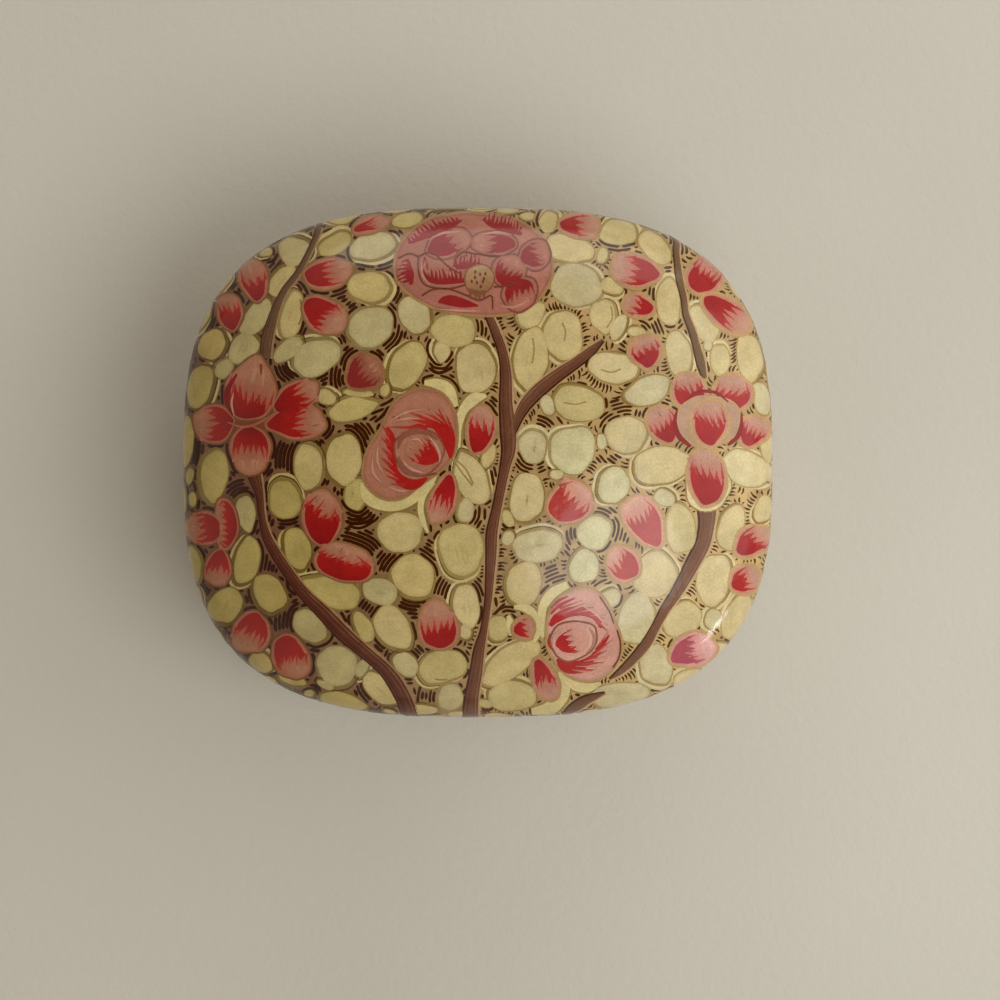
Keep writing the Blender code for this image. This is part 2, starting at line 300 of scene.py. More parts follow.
# Petals and buds: middle x and y, length, width and the angle that the pale tip points at.
# Some go on: how narrow the tip is, or the foot where less than 0, how much further the red
# reaches on the left of that way, for each millimetre, how many degrees its teeth turn to the
# right, and the share of the length that it reaches
PETALS = [
    (-27.3, 9.6, 7.8, 4.8, 28, -0.7, 0.0, 4, 0.74), (-27.2, 6.0, 9.2, 5.2, 4, -0.7, 0.0, -4, 0.64),
    (-34.0, 1.9, 7.8, 6.0, -90, -0.35, 0.0, 0, 0.56), (-39.4, 5.8, 6.4, 5.8, 180, -0.6, 0.1, 0, 0.62),
    (-33.9, 11.0, 9.6, 8.0, 76, 0.35, 0.14, -6, 0.46), (31.6, 10.5, 5.8, 5.2, 102),
    (38.0, 10.2, 6.0, 5.8, 72), (27.8, 5.6, 5.9, 5.0, 112), (41.0, 4.6, 5.0, 4.4, 62),
    (25.1, 16.5, 4.9, 5.1, 95), (23.6, 28.6, 7.5, 4.9, 172, -0.4, 0.0, 4, 0.62),
    (24.0, 23.4, 4.7, 3.6, 168, -0.2), (33.8, 27.9, 6.0, 5.3, 62, -0.1, 0.1, 0, 0.66),
    (36.9, 22.3, 8.2, 4.4, -38, -0.3, 0.0, 0, 0.68), (15.2, 35.3, 6.4, 3.5, -3),
    (-16.1, 35.4, 6.0, 2.3, 16), (-22.5, 28.2, 7.2, 4.7, 8), (-23.1, 22.1, 7.2, 5.4, -36),
    (-33.4, 27.1, 6.2, 4.5, 98), (-37.0, 22.3, 5.6, 4.0, 98),
    (-23.3, -8.4, 8.8, 5.9, 92, -0.6, 0.45, 48, 0.66), (-20.0, -15.0, 5.8, 8.7, 74, -0.1, 0.0, 52, 0.62),
    (-6.0, -24.3, 7.4, 6.0, 96, 0.25, -0.06, 4, 0.56), (13.7, -6.0, 7.0, 6.3, 50, -0.1, 0.05, -4, 0.68),
    (24.9, -8.9, 8.5, 5.4, 118, -0.4, -0.1, 4, 0.68), (21.7, -15.2, 5.6, 5.2, 140, -0.2, 0.0, 8, 0.68),
    (0.4, 4.8, 7.3, 4.5, 78), (-5.2, -5.4, 8.0, 3.9, -110), (6.8, -24.8, 3.4, 3.5, 15),
    (10.0, -32.4, 7.0, 3.6, -68), (-40.9, -9.8, 5.6, 5.0, 176),
    (-37.6, -9.2, 3.4, 8.2, 182, -0.1, 0.0, 10, 0.66), (-38.8, -15.7, 5.5, 4.2, -94),
    (-33.8, -25.3, 6.2, 5.8, -115, -0.3, 0.0, 4, 0.64), (-28.0, -29.0, 7.1, 5.4, -66, -0.3, 0.1, 30, 0.62),
    (40.9, -11.8, 5.8, 4.4, 40), (39.8, -17.5, 4.8, 4.2, 25),
]
MUDDY_BUD = (-17.1, 13.4, 6.2, 5.6, 40)
PURPLE_BUD = (31.9, -28.0, 7.2, 4.9, 25)
GREAT_PETAL_STROKES = [
    ([(-36.0, 13.2, 0.3), (-37.3, 11.0, 0.9), (-37.5, 9.0, 0.8), (-36.6, 7.0, 0.3)], WINES[0]),
    ([(-36.5, 10.4, 0.15), (-36.8, 8.8, 0.4), (-36.4, 6.9, 0.15)], PINK_LIGHT[0]),
    ([(-32.4, 14.7, 0.5), (-32.4, 13.1, 0.15)], srgb(130, 54, 40)),
    ([(-37.4, 6.0, 0.2), (-35.0, 5.3, 0.4), (-32.4, 6.1, 0.4), (-30.4, 7.4, 0.2)], PINK_BASE[0]),
]

# The brown core of the left flower, and the bud under the right one with its cream border
LEFT_FLOWER_CORE = (-33.2, 6.3, 8.0, 4.4, 10)
PEAR_BORDER = (34.3, -3.3, 7.8, 7.0, 92, 0.3)
PEAR_BUD = (34.2, -2.1, 8.8, 5.7, 93, 0.5, 0.3, -8, 0.62)

# The right flower's middle, two petals laid one on the other over the rest
DISC_PETALS = [(34.5, 6.2, 9.2, 7.8, 0), (34.6, 5.9, 7.0, 5.4, 92)]
DISC_CRESCENTS = [
    [(29.8, 8.0, 0.2), (29.4, 6.0, 0.7), (30.0, 4.0, 0.9), (31.8, 2.4, 0.4)],
    [(39.3, 7.6, 0.2), (39.3, 5.6, 0.6), (38.7, 3.8, 0.8), (37.4, 2.6, 0.3)],
    [(31.0, 9.4, 0.2), (33.0, 10.6, 0.5), (35.6, 10.4, 0.5), (37.4, 9.0, 0.2)],
]


class Rose(NamedTuple):
    """A round many-petalled flower: its outline, and lists of what is painted on its ground.

    Combs are red strokes: points with widths, and their teeth's length and angle. Bands are
    red strokes without teeth. Spikes, in red, and pinks each have a start, an end and a width.
    Petals are as in PETALS. Lines, in brown, and lights, which are paler, are plain points.
    """

    outline: list
    combs: list = ()
    bands: list = ()
    spikes: list = ()
    pinks: list = ()
    petals: list = ()
    lines: list = ()
    lights: list = ()


class Heart(NamedTuple):
    """The curled petal in a rose's middle: its disc, brown shades, a petal and pale lines."""

    disc: tuple
    shades: list
    petal: tuple
    lights: list


TOP_ROSE = Rose(
    outline=[
        (-1.0, 37.1), (-4.2, 36.9), (-7.2, 36.3), (-10.2, 34.3), (-12.0, 31.6), (-12.4, 28.8),
        (-11.8, 26.9), (-9.6, 24.8), (-5.7, 22.9), (-0.5, 22.1), (4.6, 22.3), (8.5, 24.0), (10.6, 26.9),
        (11.1, 29.6), (9.9, 32.9), (7.6, 35.1), (4.6, 36.5),
    ],
    petals=[
        (8.5, 31.0, 4.8, 4.4, 12), (-4.5, 32.7, 6.9, 4.4, 22), (2.5, 32.7, 6.9, 3.7, 176),
        (4.6, 28.5, 5.2, 5.0, 70), (6.2, 25.3, 5.0, 5.6, -62),
    ],
    combs=[
        (
            [
                (-10.0, 32.8, 0.3), (-8.4, 33.8, 1.3), (-6.0, 34.9, 1.7), (-4.0, 35.6, 1.5),
                (-2.4, 36.1, 0.2),
            ],
            0.8, 128,
        ),
        (
            [(1.0, 36.0, 0.3), (2.2, 35.7, 1.6), (4.4, 35.2, 1.9), (5.8, 34.6, 1.5), (6.5, 34.0, 0.3)],
            0.8, 80,
        ),
        ([(-10.3, 30.1, 0.4), (-10.6, 29.0, 1.8), (-10.4, 27.8, 2.0), (-9.9, 26.6, 0.5)], 0.9, 196),
        (
            [
                (-7.8, 29.4, 0.6), (-7.7, 27.9, 1.2), (-6.2, 27.3, 1.5), (-4.2, 27.3, 1.5),
                (-2.0, 27.2, 0.8),
            ],
            1.3, 100,
        ),
        ([(-3.4, 29.2, 0.9), (-2.2, 29.5, 1.4), (-0.6, 29.6, 1.0), (0.7, 29.5, 0.4)], 1.1, 84),
    ],
    bands=[[(-5.9, 23.9, 0.3), (-5.2, 24.2, 1.2), (-4.0, 24.2, 1.8), (-2.2, 23.8, 1.5), (0.0, 23.4, 0.3)]],
    lines=[
        [(-8.9, 30.7), (-8.9, 28.6), (-8.2, 26.8), (-6.6, 26.1), (-4.0, 26.0), (-1.6, 26.6)],
        [(-8.9, 30.7), (-7.6, 31.3), (-6.2, 30.9), (-4.6, 29.4), (-2.4, 28.0)],
        [(-3.6, 30.2), (-2.2, 31.4), (-0.8, 31.2), (1.6, 30.9), (3.4, 30.8)],
        [(-8.4, 24.9), (-6.8, 25.8), (-4.4, 25.9), (-1.8, 25.0), (0.2, 24.2), (2.0, 24.9), (2.2, 22.9)],
        [(-11.9, 30.5), (-10.2, 31.2), (-8.9, 30.7)], [(2.4, 26.2), (4.4, 26.4), (5.8, 26.9)],
    ],
    lights=[
        [(-7.4, 33.2), (-5.2, 34.2), (-2.6, 34.4)], [(-8.4, 30.0), (-8.3, 28.0), (-7.2, 26.5)],
        [(0.6, 34.0), (2.8, 34.3), (5.0, 34.0)], [(-6.2, 22.9), (-3.0, 22.7), (0.4, 22.6)],
        [(3.2, 23.4), (5.4, 23.2), (7.6, 24.2)],
    ],
)
TOP_ROSE_EYE = (0.2, 27.4, 4.3, 4.2, 90)
LEFT_ROSE = Rose(
    outline=[
        (-7.5, 10.9), (-9.7, 10.7), (-12.5, 8.8), (-14.5, 5.0), (-16.4, 1.9), (-17.1, -0.6), (-17.0, -2.6),
        (-15.6, -4.5), (-13.4, -5.5), (-11.0, -5.1), (-8.6, -3.2), (-6.2, -1.6), (-4.5, 0.0), (-3.4, 2.1),
        (-3.2, 4.5), (-3.6, 7.6), (-5.2, 10.1),
    ],
    bands=[
        [
            (-10.4, 5.3, 0.3), (-8.6, 5.5, 0.9), (-7.0, 5.9, 1.7), (-5.6, 5.6, 2.8), (-4.6, 4.0, 2.5),
            (-4.2, 2.2, 1.6), (-4.1, 0.6, 0.4),
        ],
        [
            (-13.6, 5.3, 0.3), (-13.1, 3.8, 1.5), (-12.9, 1.6, 1.4), (-12.8, -0.3, 1.4),
            (-12.2, -1.9, 1.5), (-10.8, -3.1, 1.9), (-9.2, -3.2, 1.6), (-7.6, -2.3, 0.4),
        ],
    ],
    spikes=[
        (-6.8, 5.7, -12.8, 6.9, 1.0), (-7.6, 5.2, -13.6, 5.3, 0.8), (-6.6, 6.2, -10.4, 7.5, 0.9),
        (-5.6, 6.2, -8.0, 7.4, 1.0), (-4.9, 6.2, -7.5, 8.1, 0.9), (-4.3, 5.6, -5.9, 7.9, 0.9),
        (-3.9, 4.6, -4.6, 7.0, 0.7), (-13.1, 4.0, -14.4, 5.6, 0.7), (-13.0, 2.4, -14.5, 3.8, 0.8),
        (-12.9, 0.8, -14.4, 2.2, 0.8), (-12.8, -0.6, -14.5, 0.7, 0.8), (-12.4, -1.8, -14.2, -0.8, 0.8),
        (-11.8, -2.6, -13.8, -2.0, 0.8), (-10.8, -3.4, -13.0, -3.2, 0.8),
    ],
    pinks=[
        (-8.6, 7.4, -5.6, 5.9, 0.6), (-7.2, 7.9, -4.9, 5.8, 0.6), (-11.6, 6.7, -7.8, 5.6, 0.5),
        (-5.6, 8.2, -4.3, 5.4, 0.6), (-14.6, 3.2, -12.9, 1.2, 0.6), (-14.6, 1.6, -12.7, -0.4, 0.6),
        (-14.5, 0.0, -12.5, -1.6, 0.6), (-13.9, -1.4, -11.9, -2.5, 0.5), (-14.4, 4.8, -13.0, 3.0, 0.5),
    ],
    lines=[[(-6.2, -1.6), (-8.2, -2.0), (-9.8, -1.9)]],
    lights=[
        [(-13.4, 6.0), (-11.0, 7.4), (-8.4, 8.0)], [(-12.6, 6.2), (-10.4, 6.6), (-8.8, 6.5)],
        [(-15.0, 2.6), (-15.0, 0.2), (-14.2, -1.6)], [(-15.8, 0.6), (-15.6, -1.6), (-14.2, -3.2)],
        [(-13.4, -3.6), (-11.8, -4.2), (-10.2, -4.2)],
    ],
)
RIGHT_ROSE = Rose(
    outline=[
        (15.8, -18.8), (13.6, -19.4), (11.9, -20.7), (10.6, -22.8), (10.3, -25.2), (10.5, -27.4),
        (11.5, -29.6), (13.2, -31.6), (15.8, -32.6), (18.5, -32.1), (20.4, -30.4), (21.3, -28.0),
        (21.2, -25.8), (20.2, -23.4), (19.2, -20.9), (17.8, -19.4),
    ],
    bands=[
        [
            (10.8, -24.4, 0.6), (11.6, -23.4, 1.4), (13.2, -22.5, 1.7), (15.3, -22.2, 1.5),
            (17.4, -22.9, 1.3), (18.4, -24.7, 0.3),
        ],
        [
            (11.9, -29.3, 0.5), (12.8, -30.3, 1.8), (14.2, -30.6, 2.2), (15.8, -30.1, 1.6),
            (17.4, -28.9, 1.0), (18.6, -27.2, 0.7), (19.6, -25.8, 0.3),
        ],
        [(10.9, -22.6, 0.3), (12.3, -21.3, 0.6), (14.6, -20.2, 0.2)],
        [(10.9, -21.8, 0.2), (12.0, -20.7, 0.5), (13.4, -20.0, 0.2)],
        [(10.9, -25.6, 0.4), (10.8, -27.0, 0.9), (11.6, -28.4, 0.4)],
    ],
    spikes=[
        (16.6, -22.4, 19.0, -23.4, 0.7), (17.2, -22.9, 19.4, -24.3, 0.6), (17.8, -23.8, 19.4, -25.2, 0.5),
        (14.6, -21.9, 17.6, -21.6, 0.4), (13.4, -22.0, 16.0, -21.0, 0.4), (14.2, -31.2, 17.9, -30.9, 0.9),
        (15.0, -30.2, 18.8, -29.8, 0.8), (16.2, -29.6, 19.3, -28.0, 0.7), (17.2, -28.6, 20.2, -26.4, 0.5),
        (17.6, -28.0, 19.4, -25.4, 0.4), (12.2, -21.8, 15.6, -20.6, 0.4),
    ],
    pinks=[
        (15.4, -21.4, 12.6, -22.6, 0.4), (17.4, -21.9, 14.8, -22.4, 0.4), (19.2, -22.8, 16.6, -22.9, 0.4),
        (17.4, -31.4, 14.0, -30.9, 0.5), (18.6, -30.5, 14.6, -30.4, 0.5), (19.2, -29.0, 15.8, -29.7, 0.5),
        (19.4, -27.4, 17.2, -28.8, 0.4),
    ],
    lines=[
        [(18.2, -20.0), (19.6, -22.2), (20.3, -24.0)],
        [(20.8, -25.0), (21.3, -27.0), (21.1, -29.0), (20.2, -30.6)],
    ],
    lights=[
        [(14.4, -20.2), (16.6, -20.8), (18.2, -22.4)], [(15.6, -21.4), (17.6, -22.6), (19.2, -24.4)],
        [(16.6, -31.4), (18.6, -30.4), (19.8, -28.4)], [(15.2, -31.6), (17.2, -31.2), (18.6, -30.0)],
    ],
)

LEFT_HEART = Heart(
    disc=(-8.8, 1.5, 6.9, 6.7, 20),
    shades=[
        [(-12.0, 2.0, 0.3), (-11.4, 3.7, 1.0), (-9.6, 4.6, 1.1), (-7.6, 4.4, 0.8), (-6.0, 3.4, 0.3)],
        [(-11.9, 0.9, 0.3), (-11.5, -0.5, 0.9), (-10.3, -1.5, 0.8), (-8.8, -1.8, 0.3)],
    ],
    petal=(-8.3, 1.6, 6.0, 4.7, 146, -0.3, 0.1, 16, 0.6),
    lights=[
        [(-7.4, 3.9, 0.15), (-6.3, 2.6, 0.42), (-5.7, 1.0, 0.36), (-5.8, 0.0, 0.12)],
        [(-11.3, 0.4, 0.12), (-10.5, -0.6, 0.4), (-9.4, -1.2, 0.4), (-8.2, -1.5, 0.12)],
        [(-9.9, 3.4, 0.12), (-9.0, 3.5, 0.36), (-8.2, 2.8, 0.12)],
    ],
)
RIGHT_HEART = Heart(
    disc=(14.3, -26.5, 7.0, 5.4, 12),
    shades=[[(16.6, -24.7, 0.2), (17.3, -25.8, 0.6), (17.2, -27.2, 0.5), (16.2, -28.4, 0.2)]],
    petal=(14.0, -26.7, 5.6, 4.2, 16, -0.2, 0.0, 0, 0.56),
    lights=[[(12.3, -25.0, 0.12), (11.4, -26.1, 0.34), (11.4, -27.5, 0.34), (12.1, -28.6, 0.12)]],
)

# Lines down the middle of some leaves: points, thin and a little darker than the leaf
VEINS = [
    [(8.2, 18.6), (8.4, 16.8), (8.1, 14.8)], [(12.6, 20.9), (13.1, 19.6), (12.9, 18.2)],
    [(19.9, 23.4), (20.1, 21.6), (19.2, 20.1)], [(18.4, 13.9), (20.0, 13.5), (21.4, 14.0)],
    [(12.8, 9.0), (14.6, 8.7), (16.2, 9.1)], [(-3.7, 0.4), (-2.4, -1.5), (-0.8, -3.5)],
    [(-3.5, 0.5), (-1.9, -0.9), (-0.7, -3.2)], [(-26.6, 24.4), (-26.3, 22.4), (-26.8, 20.6)],
    [(-6.4, -32.4), (-5.4, -32.5), (-4.6, -32.4)],
]


def reach(angle, half_length=HALF_LENGTH, half_width=HALF_WIDTH):
    """How far the outline lies from the middle, towards an angle."""
    along = np.abs(np.cos(angle) / half_length) ** OUTLINE_POWER
    across = np.abs(np.sin(angle) / half_width) ** OUTLINE_POWER
    return (along + across) ** (-1 / OUTLINE_POWER)


def crown_height(share):
    """The crown's height over its foot, a share of the way out from its middle."""
    return CROWN_RISE * np.sqrt(np.clip(1 - share**CROWN_POWER, 0, 1))


def crown_share(height):
    """The share of the way out at which the crown has this height over its foot."""
    return np.clip(1 - (height / CROWN_RISE) ** 2, 0, 1) ** (1 / CROWN_POWER)


def outward(places):
    """The outward direction of the box's outside at places on it, in millimetres."""
    x, y, z = places.T
    pull_x = np.sign(x) * np.abs(x / HALF_LENGTH) ** (OUTLINE_POWER - 1) / HALF_LENGTH
    pull_y = np.sign(y) * np.abs(y / HALF_WIDTH) ** (OUTLINE_POWER - 1) / HALF_WIDTH
    pull = np.maximum(np.hypot(pull_x, pull_y), 1e-9)
    share = np.hypot(x, y) / reach(np.arctan2(y, x))
    height = z - CROWN_FOOT
    steep = CROWN_POWER * share ** (CROWN_POWER - OUTLINE_POWER) * pull
    crown_turn = np.arctan2(2 * height / CROWN_RISE**2, np.maximum(steep, 1e-9))
    foot_turn = -np.arcsin(np.clip((FOOT_RADIUS - z) / FOOT_RADIUS, 0, 1))
    turn = np.where(height > 0, crown_turn, foot_turn)
    level = np.cos(turn) / pull
    return np.stack([pull_x * level, pull_y * level, np.sin(turn)], axis=1)


def top_chart(seen):
    """The places on the lid of points that the camera sees, in millimetres over its foot."""
    angle = np.arctan2(seen[:, 1], seen[:, 0])
    edge = reach(angle)
    share_seen = np.hypot(seen[:, 0], seen[:, 1]) / edge
    inner = np.minimum(share_seen, ROUND_SHARE)
    flat = np.stack([np.cos(angle), np.sin(angle)], axis=1) * (inner * edge)[:, None]
    eye = np.array([CAMERA_X, CAMERA_Y])
    rise = crown_height(inner)
    for _ in range(6):
        under = flat - (flat - eye) * (rise / CAMERA_HEIGHT)[:, None]
        angle = np.arctan2(under[:, 1], under[:, 0])
        share = np.hypot(under[:, 0], under[:, 1]) / reach(angle)
        rise = crown_height(share)
    drop = DOWN_STRETCH * (share_seen - inner) * edge
    height = rise - drop
    share = np.where(drop > 0, crown_share(np.maximum(height, 0)), share)
    far = share * reach(angle)
    return np.stack([far * np.cos(angle), far * np.sin(angle), CROWN_FOOT + height], axis=1)


def lengths_along(path):
    """How far along a path each of its points lies."""
    return np.concatenate([[0], np.cumsum(np.hypot(*np.diff(path, axis=0).T))])


def points_along(path, far, places):
    """A path's points at places along it, given how far along its own points lie."""
    return np.stack([np.interp(places, far, path[:, 0]), np.interp(places, far, path[:, 1])], axis=1)


def heading(angle):
    """The way that an angle in degrees points."""
    return np.array([math.cos(math.radians(angle)), math.sin(math.radians(angle))])


ANGLES = np.linspace(0, 2 * math.pi, 1441)
OUTLINE = np.stack([reach(ANGLES) * np.cos(ANGLES), reach(ANGLES) * np.sin(ANGLES)], axis=1)
ROUND = lengths_along(OUTLINE)
PERIMETER = ROUND[-1]


def side_chart(points):
    """The places on the box's side of points given as millimetres round it and up it."""
    angle = np.interp(points[:, 0] % PERIMETER, ROUND, ANGLES)
    z = points[:, 1]
    share = crown_share(np.maximum(z - CROWN_FOOT, 0))
    low = np.clip(FOOT_RADIUS - z, 0, FOOT_RADIUS)
    inset = FOOT_RADIUS - np.sqrt(FOOT_RADIUS**2 - low**2)
    far = share * reach(angle, HALF_LENGTH - inset, HALF_WIDTH - inset)
    return np.stack([far * np.cos(angle), far * np.sin(angle), z], axis=1)


def add_object(name, data):
    """A new object in the scene."""
    piece = bpy.data.objects.new(name, data)
    bpy.context.scene.collection.objects.link(piece)
    return piece


class Paint:
    """One layer of paint on a body, gathered shape by shape into one mesh."""

    def __init__(self, name, body):
        self.name = name
        self.body = body
        self.places = []
        self.normals = []
        self.tints = []
        self.faces = []
        self.count = 0

    def add(self, chart, grid, lifts, tints, closed, middle=None):
        """A grid of rows of points, with a lift for each row or each column.

        Where closed, each row is a ring, and a middle point may close the last one.
        """
        rows, columns = grid.shape[:2]
        points = grid.reshape(-1, 2)
        heights = np.broadcast_to(lifts, (rows, columns)).ravel()
        colours = np.broadcast_to(tints, (rows, columns, 3)).reshape(-1, 3)
        if middle is not None:
            points = np.vstack([points, middle])
            heights = np.append(heights, heights[-1])
            colours = np.vstack([colours, colours[-1]])
        flat = chart(points)
        normals = outward(flat)
        self.places.append(flat + normals * heights[:, None])
        self.normals.append(normals)
        self.tints.append(colours)
        start = self.count
        last = columns if closed else columns - 1
        for row in range(rows - 1):
            for column in range(last):
                a = start + row * columns + column
                b = start + row * columns + (column + 1) % columns
                self.faces.append((a, b, b + columns, a + columns))
        if middle is not None:
            inner = start + (rows - 1) * columns
            for column in range(columns):
                self.faces.append((inner + column, inner + (column + 1) % columns, inner + columns))
        self.count += len(points)

    def make(self, material, slot):
        """Makes the layer's object, which rides on its body."""
        places = np.vstack(self.places) * MM
        mesh = bpy.data.meshes.new(self.name)
        mesh.from_pydata(places.tolist(), [], self.faces)
        tints = np.ones((len(places), 4), dtype=np.float32)
        tints[:, :3] = np.vstack(self.tints)
        colours = mesh.color_attributes.new("tint", "FLOAT_COLOR", "POINT")
        colours.data.foreach_set("color", tints.ravel())
        mesh.materials.append(material)
        mesh.shade_smooth()
        mesh.normals_split_custom_set_from_vertices(np.vstack(self.normals).tolist())
        piece = add_object(self.name, mesh)
        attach(piece, self.body)


def mix(first, second, share):
    """The colour a share of the way from the first to the second."""
    return tuple(a + (b - a) * share for a, b in zip(first, second))


def mix_number(pair, share):
    """The number a share of the way from the first of a pair to the second."""
    return pair[0] + (pair[1] - pair[0]) * share


def smooth_path(points, step):
    """A smooth run of numbers through given points, at most a step apart."""
    points = np.array(points, dtype=float)
    ends = np.vstack([2 * points[0] - points[1], points, 2 * points[-1] - points[-2]])
    run = [points[0]]
    for a, b, c, d in zip(ends, ends[1:], ends[2:], ends[3:]):
        pieces = max(1, math.ceil(np.hypot(*(c - b)[:2]) / step))
        for t in np.arange(1, pieces + 1) / pieces:
            slope = (c - a) * t + (2 * a - 5 * b + 4 * c - d) * t**2 + (3 * b - a - 3 * c + d) * t**3
            run.append(b + slope / 2)
    return np.array(run)


def closed_path(points, count):
    """A smooth closed outline through given points."""
    points = np.array(points, dtype=float)
    around = np.vstack([points[-1:], points, points[:2]])
    run = smooth_path(around, 0.4)
    far = lengths_along(run)
    away = np.hypot(*(run - points[0]).T)
    half = len(run) // 2
    first = far[np.argmin(away[:half])]
    last = far[half + np.argmin(away[half:])]
    return points_along(run, far, np.linspace(first, last, count, endpoint=False))


def sideways(path, closed=False):
    """The direction square to a path at each of its points, to the right of its run."""
    if closed:
        run = np.roll(path, -1, axis=0) - np.roll(path, 1, axis=0)
    else:
        run = np.gradient(path, axis=0)
    run /= np.maximum(np.hypot(*run.T), 1e-9)[:, None]
    return np.stack([run[:, 1], -run[:, 0]], axis=1)


def leaf_outline(dice, x, y, length, width, angle, point=0.0, count=42):
    """A hand-painted leaf's outline, anticlockwise, pointed at its angle, or else behind."""
    turn = np.linspace(0, 2 * math.pi, count, endpoint=False)
    wave = np.zeros(count)
    for times, size in ((2, 0.035), (3, 0.035), (5, 0.02), (8, 0.01)):
        wave += size * np.cos(times * turn + dice.uniform(0, 6.3))
    square = dice.uniform(0.84, 1.0)
    along = np.sign(np.cos(turn)) * np.abs(np.cos(turn)) ** square * length / 2 * (1 + wave)
    across = np.sign(np.sin(turn)) * np.abs(np.sin(turn)) ** square * width / 2 * (1 + wave)
    ahead = np.cos(turn) if point >= 0 else -np.cos(turn)
    narrow = 1 - abs(point) * 0.85 * np.clip(ahead, 0, 1) ** 1.5
    across = across * (narrow - dice.uniform(-0.06, 0.1) * np.cos(turn))
    along = along + (np.abs(across) / width) ** 2 * width * dice.uniform(-0.08, 0.08)
    c, s = heading(angle)
    return np.stack([x + along * c - across * s, y + along * s + across * c], axis=1)


def rings_of(outline, middle, shares):
    """The outline drawn in towards the middle, once for each share of its size."""
    return np.stack([middle + (outline - middle) * share for share in shares])


def inner_shares(far):
    """Shares for rings that fill an outline this far across and follow the box's curves."""
    count = max(3, math.ceil(far / 0.7))
    return [1.0, 1 - 0.03 * 3 / count] + [1 - ring / count for ring in range(1, count)]


class Brush:
    """Paints motifs through a chart onto a body's layers, and remembers their outlines."""

    POINT_SPACING = 0.45  # along a motif's outline
    MOST_POINTS = 84
    FLAT_ENOUGH = 0.003  # how far a flat strip may lie under the surface

    def __init__(self, chart, layers, dice):
        self.chart = chart
        self.layers = layers
        self.dice = dice
        self.motifs = []

    def east(self, x, y):
        """Where a place lies across the box, from 0 on the left to 1 on the right. The colours that follow
        it darken to the left partly as painted shade.
        """
        x, y, _ = self.chart(np.array([[x, y]]))[0]
        return float(np.interp(x * (1 - GROUND_SLANT * y), (-GROUND_TURNS, GROUND_TURNS), (0, 1)))

    def length(self, path):
        """How long a path is on the box itself."""
        return np.sqrt((np.diff(self.chart(path), axis=0) ** 2).sum(axis=1)).sum()

    def sag(self, first, middle, last):
        """How far a flat strip between two lines would lie under the surface halfway."""
        return np.abs(self.chart(middle) - (self.chart(first) + self.chart(last)) / 2).max()

    def shape(self, *values, fewest=20):
        """A leaf's outline with as many points as its length on the box asks for."""
        before = self.dice.getstate()
        rough = leaf_outline(self.dice, *values, count=16)
        self.dice.setstate(before)
        count = round(self.length(np.vstack([rough, rough[:1]])) / self.POINT_SPACING)
        return leaf_outline(self.dice, *values, count=min(max(count, fewest), self.MOST_POINTS))

    def patch(self, layer, outline, lift, tint, far_tint=None, angle=0, rim=None):
        """Fills an outline with paint, its edge tucked under the surface.

        The paint may shade to a far tint at an angle, and its edge may have a rim tint.
        """
        middle = outline.mean(axis=0)
        spread = self.chart(np.vstack([middle, outline[::4]]))
        shares = inner_shares(np.sqrt(((spread[1:] - spread[0]) ** 2).sum(axis=1)).max())
        grid = rings_of(outline, middle, shares)
        along = (grid - middle) @ heading(angle)
        share = ((along - along.min()) / (along.max() - along.min()))[:, :, None]
        tints = np.array(tint) * (1 - share) + np.array(far_tint or tint) * share
        if rim is not None:
            tints[:2] = rim
        lifts = np.full((len(shares), 1), lift)
        lifts[0] = TUCK
        self.layers[layer].add(self.chart, grid, lifts, tints, True, middle)

    def ring(self, layer, outline, inner, outer, lift, tint):
        """A line painted along a closed outline, from inner to outer millimetres out."""
        out = sideways(outline, closed=True)

        def line(rim):
            """The outline moved out by a rim's distance."""
            return outline + out * np.asarray(rim).reshape(-1, 1)

        sag = self.sag(line(inner), line(np.add(inner, outer) / 2), line(outer))
        between = 4 if sag > self.FLAT_ENOUGH else 2
        rims = [outer, *np.linspace(np.subtract(outer, 0.03), inner + 0.03, between), inner]
        grid = np.stack([line(rim) for rim in rims])
        lifts = np.array([TUCK] + [lift] * between + [TUCK])[:, None]
        self.layers[layer].add(self.chart, grid, lifts, tint, True)

    def stroke(self, layer, points, lift, tint, step=0.5, shift=0.0, far_tint=None):
        """A brush stroke along points that each hold x, y and the stroke's width there.

        It may shade to a far tint at its end.
        """
        path = smooth_path(points, step)
        stretch = self.length(path[:, :2]) / max(np.hypot(*np.diff(path[:, :2], axis=0).T).sum(), 1e-6)
        if stretch > 1.3:  # on the steep edge, where the camera sees less of it
            path = smooth_path(points, step / min(stretch, 3))
        start = path[:1] + (path[:1] - path[1:2]) * 0.06
        end = path[-1:] + (path[-1:] - path[-2:-1]) * 0.06
        path = np.vstack([start, path, end])
        out = sideways(path[:, :2])
        half = np.maximum(path[:, 2:3], 0.08) / 2
        middle = path[:, :2] + out * shift
        sides = (-1, -0.86, 0, 0.86, 1)
        if self.sag(middle, middle + out * half * 0.5, middle + out * half) > self.FLAT_ENOUGH:
            sides = (-1, -0.86, -0.57, -0.29, 0, 0.29, 0.57, 0.86, 1)
        grid = np.stack([middle + out * half * side for side in sides])
        lifts = np.full((len(sides), len(path)), TUCK)
        lifts[1:-1, 1:-1] = lift
        share = np.linspace(0, 1, len(path))[:, None, None]
        tints = np.array(tint) * (1 - share) + np.array(far_tint or tint) * share
        self.layers[layer].add(self.chart, grid.transpose(1, 0, 2), lifts.T, tints, False)

    def note(self, outline):
        """Remembers a motif's outline, for what is painted round it."""
        self.motifs.append(outline)

    def note_stroke(self, points):
        """Remembers the outline of a long stroke."""
        path = smooth_path(points, 0.8)
        out = sideways(path[:, :2]) * path[:, 2:3] / 2
        self.note(np.vstack([path[:, :2] + out, (path[:, :2] - out)[::-1]]))

